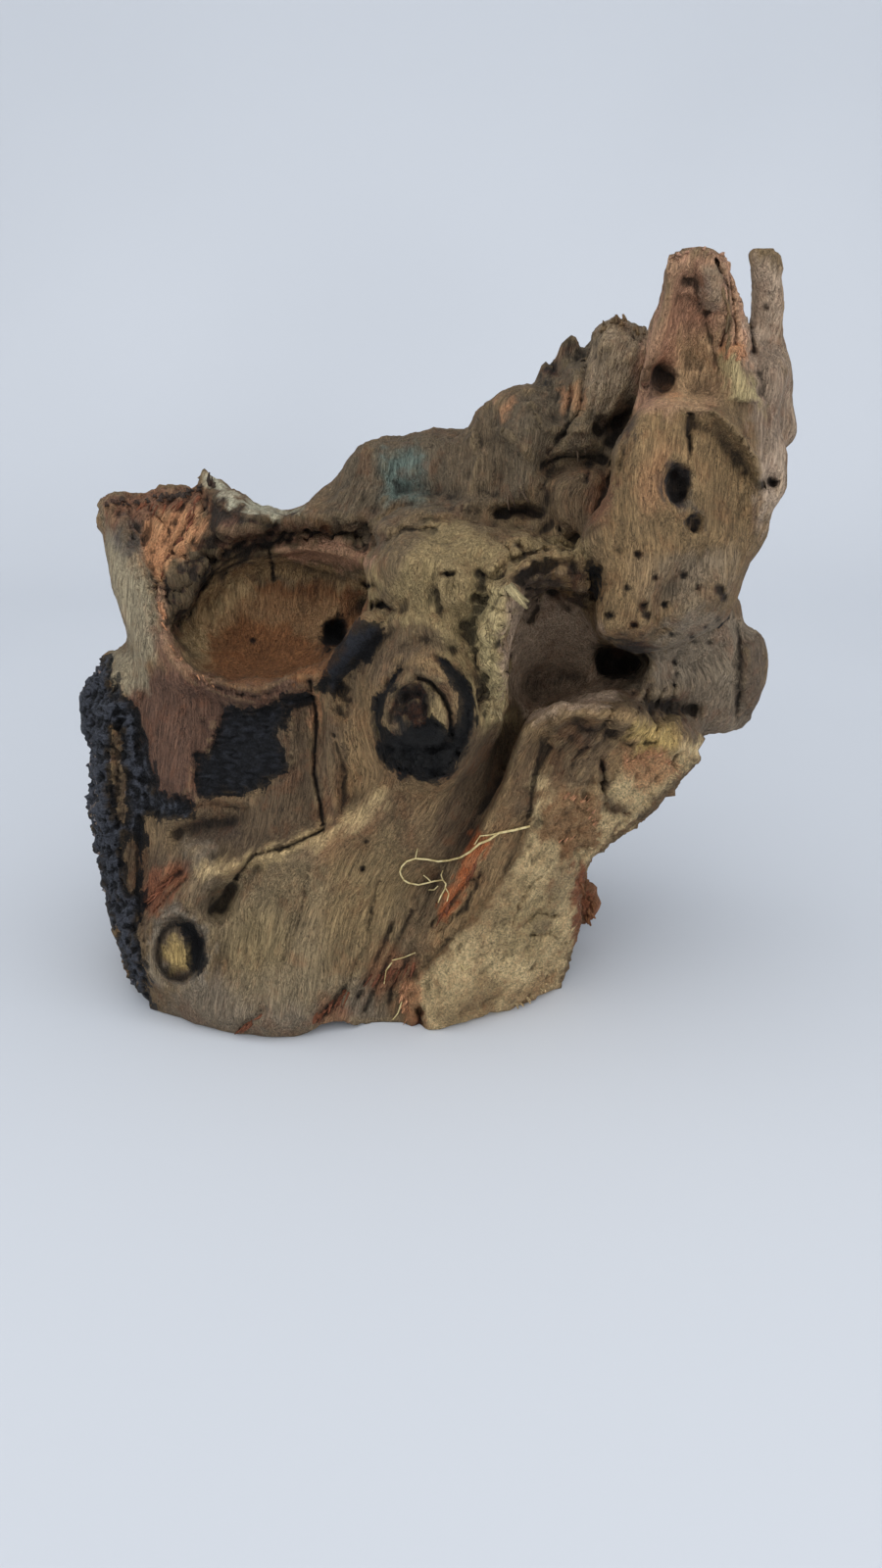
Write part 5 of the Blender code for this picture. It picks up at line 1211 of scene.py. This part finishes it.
class Finish:
    """A material, built node by node."""

    def __init__(self, name):
        self.material = bpy.data.materials.new(name)
        self.material.use_nodes = True
        self.tree = self.material.node_tree
        self.shader = self.tree.nodes["Principled BSDF"]

    def node(self, kind, settings, sockets):
        """A new node with its settings and with values or links in its sockets."""
        node = self.tree.nodes.new("ShaderNode" + kind)
        for name, value in settings.items():
            setattr(node, name, value)
        for name, value in sockets.items():
            put(self.tree, node.inputs[name], value)
        return node

    def read(self, name, output="Fac"):
        """What the mesh keeps under this name."""
        node = self.node("Attribute", {"attribute_name": name}, {})
        return Sum(self.tree, node.outputs["Fac"]) if output == "Fac" else node.outputs[output]

    def scaled(self, vector, by):
        return self.node("VectorMath", {"operation": "MULTIPLY"}, {0: vector, 1: by}).outputs[0]

    def noise(self, vector, scale, detail, rough=0.55, warp=0.0):
        sockets = {"Vector": vector, "Scale": scale, "Detail": detail, "Roughness": rough, "Distortion": warp}
        return Sum(self.tree, self.node("TexNoise", {}, sockets).outputs["Fac"])

    def along(self, flow, share, scale, detail, rough, warp):
        """Noise drawn out along the fibres: the smaller the share, the longer its streaks."""
        return self.noise(self.scaled(flow, (1, 1, share)), scale, detail, rough, warp)

    def object_place(self):
        """The place on the object, in millimetres."""
        return self.scaled(self.node("TexCoord", {}, {}).outputs["Object"], (1 / MM,) * 3)

    def wear(self, tone, roughness):
        """Gives the surface its colour and its roughness."""
        put(self.tree, self.shader.inputs["Base Color"], tone)
        put(self.tree, self.shader.inputs["Roughness"], roughness)

    def mixed(self, factor, a, b, kind="MIX"):
        return self.node("Mix", {"data_type": "RGBA", "blend_type": kind}, {0: factor, 6: a, 7: b}).outputs[2]

    def grey(self, value):
        return self.node("CombineColor", {}, {0: value, 1: value, 2: value}).outputs[0]


def colour(tone, gain=1.0):
    """A colour for a material's socket, from parts of 255."""
    return (*linear(tone, gain), 1.0)


def wood_finish():
    """Weathered wood: fibres, drying cracks, worn edges, painted shade and grime in the crevices, and crisp
    char.
    """
    finish = Finish("weathered_wood")
    flow = finish.scaled(finish.read("flow", "Vector"), (1 / MM,) * 3)
    place = finish.object_place()
    edge, hollow, char, crumb = (finish.read(name) for name in ("edge", "hollow", "char", "crumb"))

    # patterns along the fibres, then those that go all ways
    hair = finish.along(flow, 0.12, 1.7, 3.0, 0.6, 0.3)
    fibre = finish.along(flow, 0.08, 0.8, 3.0, 0.6, 0.5)
    band = finish.along(flow, 0.10, 0.22, 4.0, 0.6, 0.4)
    mottle = finish.along(flow, 0.4, 0.34, 4.0, 0.65, 0.4)
    thread = finish.along(flow, 0.05, 1.1, 2.0, 0.5, 0.8)
    swirl = finish.along(flow, 0.35, 0.09, 3.0, 0.5, 0.8)
    speck = finish.noise(place, 1.3, 5.0, 0.7)
    blotch = finish.noise(place, 0.11, 5.0, 0.6)
    grit = finish.noise(place, 4.0, 3.0, 0.6)
    stain = finish.noise(place, 0.26, 4.0, 0.6, 0.5)

    # thin threads, the figure of the growth lines, and drying cracks
    thin = 1 - (thread - 0.5).under("ABSOLUTE").over(0.01, 0.05)
    figure = (swirl * 190.0).under("SINE") * 0.5 + 0.5
    split = 1 - (fibre - 0.5).under("ABSOLUTE").over(0.003, 0.016)
    check = 1 - (band - 0.47).under("ABSOLUTE").over(0.002, 0.009)
    cracks = ((split * band.over(0.51, 0.60) + check * speck.over(0.45, 0.6)) * (1 - crumb * 0.7)).held()

    # weathered wood, its warm stains, worn edges, and painted shade with specks of grime in crevices and
    # hollows
    grain = (hair - 0.5) * 1.3 + (fibre - 0.5) * 0.9 + (band - 0.5) * 0.4 - thin * 0.16
    grain = grain + (figure - 0.5) * 0.13
    crumbs = (speck - 0.5) * 2.2 + (grit - 0.5) * 1.0
    light = 1.0 + grain * (1 - crumb * 0.75) + (speck - 0.5) * 1.0 + (mottle - 0.5) * (0.7 - crumb * 0.2)
    # painted shade: through hollow, broad bulges come out a little lighter and broad hollows a little darker
    light = light + crumbs * crumb + (stain - 0.5) * (crumb * 1.3) + hollow * 0.06
    tone = finish.mixed(1.0, finish.read("tone", "Color"), finish.grey(light * DAYLIGHT_GAIN), "MULTIPLY")
    warm = blotch.over(0.50, 0.66) * 0.20 + mottle.over(0.52, 0.68) * 0.14
    warm = warm + crumb * stain.over(0.5, 0.62) * 0.3
    tone = finish.mixed(warm.held(), tone, colour(WARM, 0.8))
    worn = (edge * 0.9 + (fibre - 0.5) * 1.0 - 0.2).over(0.2, 1.1)
    tone = finish.mixed(worn * 0.24, tone, colour(PALE_EDGE, 0.9))
    # painted shade: concave places and broad hollows darken toward the crevice tone, broken up by specks of
    # grime
    grime_and_crevice_shade = ((0.0 - edge) * 0.7 + (speck - 0.5) * 0.8 - hollow * 0.25 - 0.08).over(0.0, 1.3)
    tone = finish.mixed(grime_and_crevice_shade * (0.8 - crumb * 0.3), tone, colour(TONES["crevice"]))
    tone = finish.mixed(cracks * 0.65, tone, colour(TONES["crevice"]))

    # char, with ash and painted sheen on its raised edges, shrinkage gaps, and painted shade in its hollows
    burnt = (char + (speck - 0.5) * 1.3 + (fibre - 0.5) * 1.0).over(-0.06, 0.08)
    shrink = finish.noise(finish.scaled(flow, (0.35, 0.35, 1.0)), 0.9, 3.0, 0.6, 0.6)
    gaps = 1 - (shrink - 0.5).under("ABSOLUTE").over(0.004, 0.03)
    ash = finish.mixed(1.0, finish.read("tone", "Color"), colour(ASH_SHADE), "MULTIPLY")
    # painted sheen: the char's raised edges turn toward the paler ash, as its specks do
    coal = finish.mixed((speck.over(0.44, 0.62) * 0.6 + edge.over(-0.2, 0.8) * 0.7).held(), colour(COAL), ash)
    # painted shade: the char's hollows darken toward the gap colour, like its shrinkage gaps
    coal = finish.mixed((gaps + (0.0 - edge).over(0.2, 1.2)).held() * 0.6, coal, colour(COAL_GAP_SHADE))
    tone = finish.mixed(burnt, tone, coal)

    # how far all of this stands out
    height = hair * 0.4 + fibre * 0.9 + band * 0.5 + speck * 0.5 + grit * 0.15 - cracks * 0.8 - thin * 0.5
    height = height + figure * 0.16 + mottle * 0.7
    height = height + crumb * (speck * 1.3 + grit * 0.5 + stain * 1.6 - fibre * 0.6)
    coal_height = speck * 1.7 + grit * 0.2 + blotch * 1.0 - gaps * 0.9
    height = height + (coal_height - height) * burnt
    bump = finish.node("Bump", {}, {"Strength": BUMP_STRENGTH, "Distance": BUMP_DEPTH, "Height": height})
    put(finish.tree, finish.shader.inputs["Normal"], bump.outputs[0])
    finish.wear(tone, 0.85 - burnt * 0.3)
    finish.shader.inputs["Specular IOR Level"].default_value = 0.3
    return finish.material


def add_camera():
    """The camera in the place of the eye."""
    camera = bpy.data.objects.new("eye", bpy.data.cameras.new("eye"))
    bpy.context.scene.collection.objects.link(camera)
    camera.data.sensor_width = LENS_FILM
    camera.data.lens = LENS_FILM * SIGHT_LENGTH / SHEET_HEIGHT
    camera.data.clip_start = 0.01
    camera.location = EYE * MM
    camera.rotation_euler = (math.pi / 2 - LOOK_DOWN, 0, 0)
    bpy.context.scene.camera = camera


# The floor and backdrop, in metres
SWEEP_WIDTH, SWEEP_DEPTH, SWEEP_BEND, SWEEP_HEIGHT = 5.0, 2.4, 0.55, 1.6
SWEEP_RADIUS, SWEEP_STEPS = 0.5, 12
PAPER_DARK, PAPER_PALE = (0.58, 0.605, 0.64), (0.63, 0.655, 0.69)


def add_sweep():
    """The pale floor, which turns up into a backdrop far behind the wood."""
    bpy.ops.object.select_all(action="DESELECT")
    bpy.ops.mesh.primitive_plane_add(size=1)
    sweep = bpy.context.object
    sweep.name = "paper_sweep"
    bpy.ops.object.mode_set(mode="EDIT")
    bpy.ops.mesh.select_all(action="SELECT")
    bpy.ops.transform.resize(value=(SWEEP_WIDTH, SWEEP_DEPTH, 1))
    bpy.ops.transform.translate(value=(0, SWEEP_BEND - SWEEP_DEPTH / 2, 0))
    bpy.ops.mesh.select_all(action="DESELECT")
    bpy.ops.object.mode_set(mode="OBJECT")
    for edge in sweep.data.edges:
        edge.select = all(sweep.data.vertices[i].co.y > SWEEP_BEND - 0.001 for i in edge.vertices)
    bpy.ops.object.mode_set(mode="EDIT")
    bpy.ops.mesh.select_mode(type="EDGE")
    for turn in range(1, SWEEP_STEPS + 1):
        angle = math.radians(90 * (turn - 0.5) / SWEEP_STEPS)
        step = SWEEP_RADIUS * math.radians(90 / SWEEP_STEPS)
        bpy.ops.mesh.extrude_region_move(
            TRANSFORM_OT_translate={"value": (0, step * math.cos(angle), step * math.sin(angle))})
    bpy.ops.mesh.extrude_region_move(TRANSFORM_OT_translate={"value": (0, 0, SWEEP_HEIGHT)})
    bpy.ops.object.mode_set(mode="OBJECT")
    bpy.ops.object.shade_smooth()
    sweep.data.materials.append(paper_finish())


def paper_finish():
    """Pale paper, a little darker in broad patches."""
    finish = Finish("pale_paper")
    shade = finish.noise(finish.node("TexCoord", {}, {}).outputs["Object"], 1.4, 2.0)
    finish.wear(finish.mixed(shade.over(0.3, 0.7), (*PAPER_DARK, 1), (*PAPER_PALE, 1)), 0.7)
    return finish.material


# Soft lamps: name, place in metres, power in watts
LAMPS = (
    ("soft_top", (-0.10, -0.2, 1.1), 1.2),
    ("soft_front", (-0.20, -1.1, 0.60), 1.4),
    ("soft_right", (0.75, -0.45, 0.40), 1.0),
)
LAMP_SIZE = 0.8
LAMP_TINT = (1.0, 0.985, 0.96)
LAMP_AIM = Vector((0, 0, 0.1))
SKY = (0.85, 0.88, 0.93)
SKY_STRENGTH = 1.16


def add_lights():
    """A pale room and the soft lamps in it."""
    world = bpy.data.worlds.new("soft_room")
    bpy.context.scene.world = world
    world.use_nodes = True
    back = world.node_tree.nodes["Background"]
    back.inputs["Color"].default_value = (*SKY, 1)
    back.inputs["Strength"].default_value = SKY_STRENGTH
    for name, place, power in LAMPS:
        lamp = bpy.data.lights.new(name, "AREA")
        lamp.size, lamp.energy, lamp.color = LAMP_SIZE, power, LAMP_TINT
        light = bpy.data.objects.new(name, lamp)
        bpy.context.scene.collection.objects.link(light)
        light.location = place
        light.rotation_euler = (LAMP_AIM - Vector(place)).to_track_quat("-Z", "Y").to_euler()
    bpy.context.scene.view_settings.view_transform = "Standard"


# Broken fibres that stand out: count, length and thickness in millimetres, way on the sheet, tone, edge line
SLIVERS = (
    (34, 1.6, 3.0, (-0.1, -1.0), "stain", ((106, 514), (152, 510), (184, 505), (204, 498))),
    (20, 4.0, 1.6, (-0.5, 0.8), "red fibre", ((120, 520), (160, 516), (200, 512), (190, 540), (160, 590))),
    (7, 3.0, 1.9, (0.1, -1.0), "stain", ((204, 496), (210, 490), (216, 494))),
    (18, 3.5, 1.2, (0.3, 0.9), "torn orange", ((160, 600), (170, 652), (190, 682), (214, 698))),
    (12, 1.0, 2.2, (0.0, -1.0), "pinkish", ((686, 264), (700, 258), (730, 256), (748, 266))),
    (10, 6.0, 1.4, (0.1, 1.0), "cheek", ((738, 290), (744, 320), (742, 352))),
    (8, 2.6, 1.8, (0.1, -1.0), "torn orange", ((741, 362), (758, 364))),
    (12, 2.4, 2.4, (0.0, -1.0), "cheek", ((606, 344), (620, 332), (632, 326), (646, 338), (658, 344))),
    (2, 8.0, 3.0, (0.6, 0.7), "bone", ((522, 604), (524, 606))),
    (12, 5.0, 1.4, (0.2, 1.0), "umber", ((600, 452), (560, 476), (520, 510), (460, 520))),
    (26, 3.6, 1.5, (-0.5, 0.9), "torn orange", ((412, 1000), (414, 1030), (420, 1050), (440, 1054))),
    (24, 2.2, 1.4, (0.6, 0.8), "straw", ((440, 1056), (484, 1048), (524, 1028), (564, 1002), (576, 970))),
    (26, 2.0, 1.4, (0.9, 0.5), "straw", ((598, 872), (626, 846), (658, 817), (698, 779), (712, 762))),
    (16, 4.5, 1.5, (-0.5, 0.9), "red fibre", ((320, 1040), (336, 1028), (352, 1014))),
    (14, 4.5, 1.5, (-0.5, 0.9), "red fibre", ((380, 1000), (404, 990), (426, 986))),
    (12, 3.4, 1.4, (-0.6, 0.8), "red fibre", ((250, 1048), (270, 1034))),
    (12, 5.0, 1.4, (-0.7, 0.7), "red fibre", ((150, 922), (170, 900), (188, 888))),
    (18, 2.4, 1.2, (0.7, -0.7), "torn orange", ((572, 812), (600, 820), (606, 846), (570, 860))),
    (14, 2.4, 1.2, (0.8, -0.5), "torn orange", ((636, 776), (670, 770), (684, 782))),
    (10, 4.5, 1.4, (-0.3, 0.9), "red fibre", ((486, 880), (470, 912), (450, 940))),
    (14, 3.4, 2.2, (0.4, 0.9), "rust", ((590, 900), (602, 920), (598, 944))),
    (4, 3.2, 2.2, (0.2, 1.0), "bone", ((498, 722), (512, 726))),
)
DICE_SEED = 11
FLOOR_GAP = 0.05  # how far every sliver stays above the floor, in millimetres

# What the material reads on a sliver beside its tone
SLIVER_WEAR = (("char", -3.0), ("edge", 0.1), ("hollow", 0.0), ("crumb", 0.0))

# The dry rootlet that clings to the front, and its side hairs: radius in millimetres, sheet points
ROOTLET = (
    (0.42, ((541, 843), (525, 847), (509, 850), (499, 857), (489, 861), (480, 869), (470, 875), (458, 878),
            (447, 879), (436, 877), (424, 876), (415, 879), (410, 884), (408, 889), (409, 893), (412, 898),
            (417, 901), (427, 903), (436, 901), (444, 899), (452, 898), (455, 902), (454, 907), (450, 914),
            (447, 921))),
    (0.26, ((509, 850), (500, 852), (490, 853), (484, 862))), (0.2, ((424, 876), (425, 870), (426, 866))),
    (0.22, ((440, 900), (436, 896), (432, 893))), (0.22, ((452, 898), (450, 893), (452, 888))),
    (0.22, ((454, 905), (458, 912), (456, 920))), (0.2, ((447, 904), (443, 908), (437, 908))),
    (0.24, ((400, 980), (412, 977), (424, 972))), (0.24, ((400, 982), (394, 990), (392, 1004))),
    (0.28, ((410, 1022), (406, 1034), (398, 1044), (392, 1050))),
    (0.2, ((470, 984), (474, 990), (480, 986))), (0.22, ((676, 828), (668, 836), (660, 838))),
)
HAIR_GAP = 0.5  # how far the rootlet stands off the wood, in millimetres
ROOTLET_DARK, ROOTLET_PALE = (166, 146, 96), (206, 190, 140)


def on_sheet(across, down):
    """A step on the sheet as a direction in space."""
    sin, cos = math.sin(LOOK_DOWN), math.cos(LOOK_DOWN)
    return Vector((across, -down * sin, -down * cos))


def sliver():
    """One broken fibre, a millimetre long, which tapers and bends a little."""
    bpy.ops.object.select_all(action="DESELECT")
    bpy.ops.mesh.primitive_cone_add(vertices=6, radius1=0.5, radius2=0.16, depth=1.0, location=(0, 0, 0.25))
    blade = bpy.context.object
    bpy.ops.object.mode_set(mode="EDIT")
    bpy.ops.mesh.select_all(action="SELECT")
    bpy.ops.mesh.subdivide(number_cuts=1)
    bpy.ops.object.mode_set(mode="OBJECT")
    bpy.ops.object.transform_apply(location=True, rotation=True, scale=True)
    for point in blade.data.vertices:
        point.co.x += 0.35 * point.co.z ** 2
        point.co.y *= 0.55
    return blade


def placed(dice, spot, length, thick, way):
    """Where a sliver stands and how it is turned, and its size, all drawn from the dice."""
    long = length * dice.uniform(0.5, 1.25)
    wide = thick * dice.uniform(0.6, 1.3)
    up = on_sheet(way[0] + dice.uniform(-0.35, 0.35), way[1] + dice.uniform(-0.25, 0.25))
    up = (up + 0.35 * dice.random() * (EYE - spot).normalized()).normalized()
    side = up.cross(Vector((dice.uniform(-1, 1), dice.uniform(-1, 1), dice.uniform(-1, 1)))).normalized()
    turn = Matrix((side, up.cross(side), up)).transposed().to_4x4()
    size = (wide, wide, long)
    return Matrix.Translation(spot) @ turn @ Matrix.Diagonal((*size, 1)), size


def joined(pieces, name):
    """One piece made of several."""
    bpy.ops.object.select_all(action="DESELECT")
    for piece in pieces:
        piece.select_set(True)
    bpy.context.view_layer.objects.active = pieces[0]
    bpy.ops.object.join()
    whole = bpy.context.object
    whole.name = name
    return whole


def add_slivers(wood):
    """Broken fibres along the torn edges, made of one sliver's copies."""
    dice = random.Random(DICE_SEED)
    blade = sliver()
    shape = floats_of(blade.data.vertices, "co", 3)
    copies = []
    for count, length, thick, way, tone, line in SLIVERS:
        path = walk(line, 2.0)
        for _ in range(count):
            hit = wood.touched(*dice.choice(path) + np.array((dice.uniform(-3, 3), dice.uniform(-3, 3))))
            if hit is None:
                continue
            stand, size = placed(dice, hit, length, thick, way)
            copy = blade.data.copy()
            copy.transform(stand)
            corners = floats_of(copy.vertices, "co", 3)
            if corners[:, 2].min() < FLOOR_GAP or (inside_box(corners) != corners).any():
                bpy.data.meshes.remove(copy)
                continue
            piece = bpy.data.objects.new("sliver", copy)
            bpy.context.scene.collection.objects.link(piece)
            keep(piece, "tone", np.tile(linear(TONES[tone]) * dice.uniform(0.7, 1.25), (len(shape), 1)))
            for name, value in SLIVER_WEAR:
                keep(piece, name, np.full(len(shape), value))
            keep_flow(piece, shape * size + np.array(hit))
            copies.append(piece)
    bpy.data.objects.remove(blade)
    return joined(copies, "broken_fibres")


def strand_places(wood, radius, line):
    """Where a strand runs: a hair in front of the wood, and straight across small hollows."""
    hits = [wood.touched(*spot) for spot in walk(line, 4.0)]
    hits = [hit + (EYE - hit).normalized() * (radius + HAIR_GAP) for hit in hits if hit is not None]
    if len(hits) < 2:
        return []
    gaps = np.array([(hit - EYE).length for hit in hits])
    for _ in range(6):
        eased = (np.append(gaps[1:], gaps[-1]) + np.append(gaps[0], gaps[:-1]) + gaps) / 3
        gaps = np.minimum(gaps, eased)
    return [EYE + (hit - EYE).normalized() * gap for hit, gap in zip(hits, gaps)]


def strand_along(places, radius):
    """A round strand through these places, which thins towards its end."""
    bpy.ops.object.select_all(action="DESELECT")
    bpy.ops.curve.primitive_nurbs_path_add()
    strand = bpy.context.object
    strand.data.splines.clear()
    spline = strand.data.splines.new("POLY")
    spline.points.add(len(places) - 1)
    for number, place in enumerate(places):
        spline.points[number].co = (*place, 1)
        spline.points[number].radius = 1.0 - 0.45 * number / len(places)
    strand.data.dimensions = "3D"
    strand.data.bevel_depth = radius
    strand.data.bevel_resolution = 1
    strand.data.use_fill_caps = True
    bpy.ops.object.convert(target="MESH")
    return bpy.context.object


def add_rootlet(wood):
    """The thin rootlet, laid a hair's breadth in front of the wood."""
    strands = []
    for radius, line in ROOTLET:
        places = strand_places(wood, radius, line)
        if places:
            strands.append(strand_along(places, radius))
    return joined(strands, "dry_rootlet")


def rootlet_finish():
    """Dry, pale bark with darker patches."""
    finish = Finish("dry_rootlet")
    patch = finish.noise(finish.object_place(), 0.35, 4.0)
    tone = finish.mixed(patch.over(0.4, 0.62), colour(ROOTLET_DARK, 1.2), colour(ROOTLET_PALE, 1.2))
    finish.wear(tone, 0.6)
    return finish.material


def finished(piece, material):
    """Brings a piece to metres, gives it its material and sets it on the part's body."""
    piece.data.transform(Matrix.Scale(MM, 4))
    piece.data.materials.clear()
    piece.data.materials.append(material)
    piece.data.shade_smooth()
    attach(piece, "root")


def main():
    """The stage, the wood with its paint, and the thin pieces on it."""
    add_camera()
    add_sweep()
    add_lights()
    piece = shaped_wood()
    paint(piece)
    wood = Wood(piece)
    slivers = add_slivers(wood)
    rootlet = add_rootlet(wood)
    finish = wood_finish()
    finished(piece, finish)
    finished(slivers, finish)
    finished(rootlet, rootlet_finish())
    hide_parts("driftwood")


main()
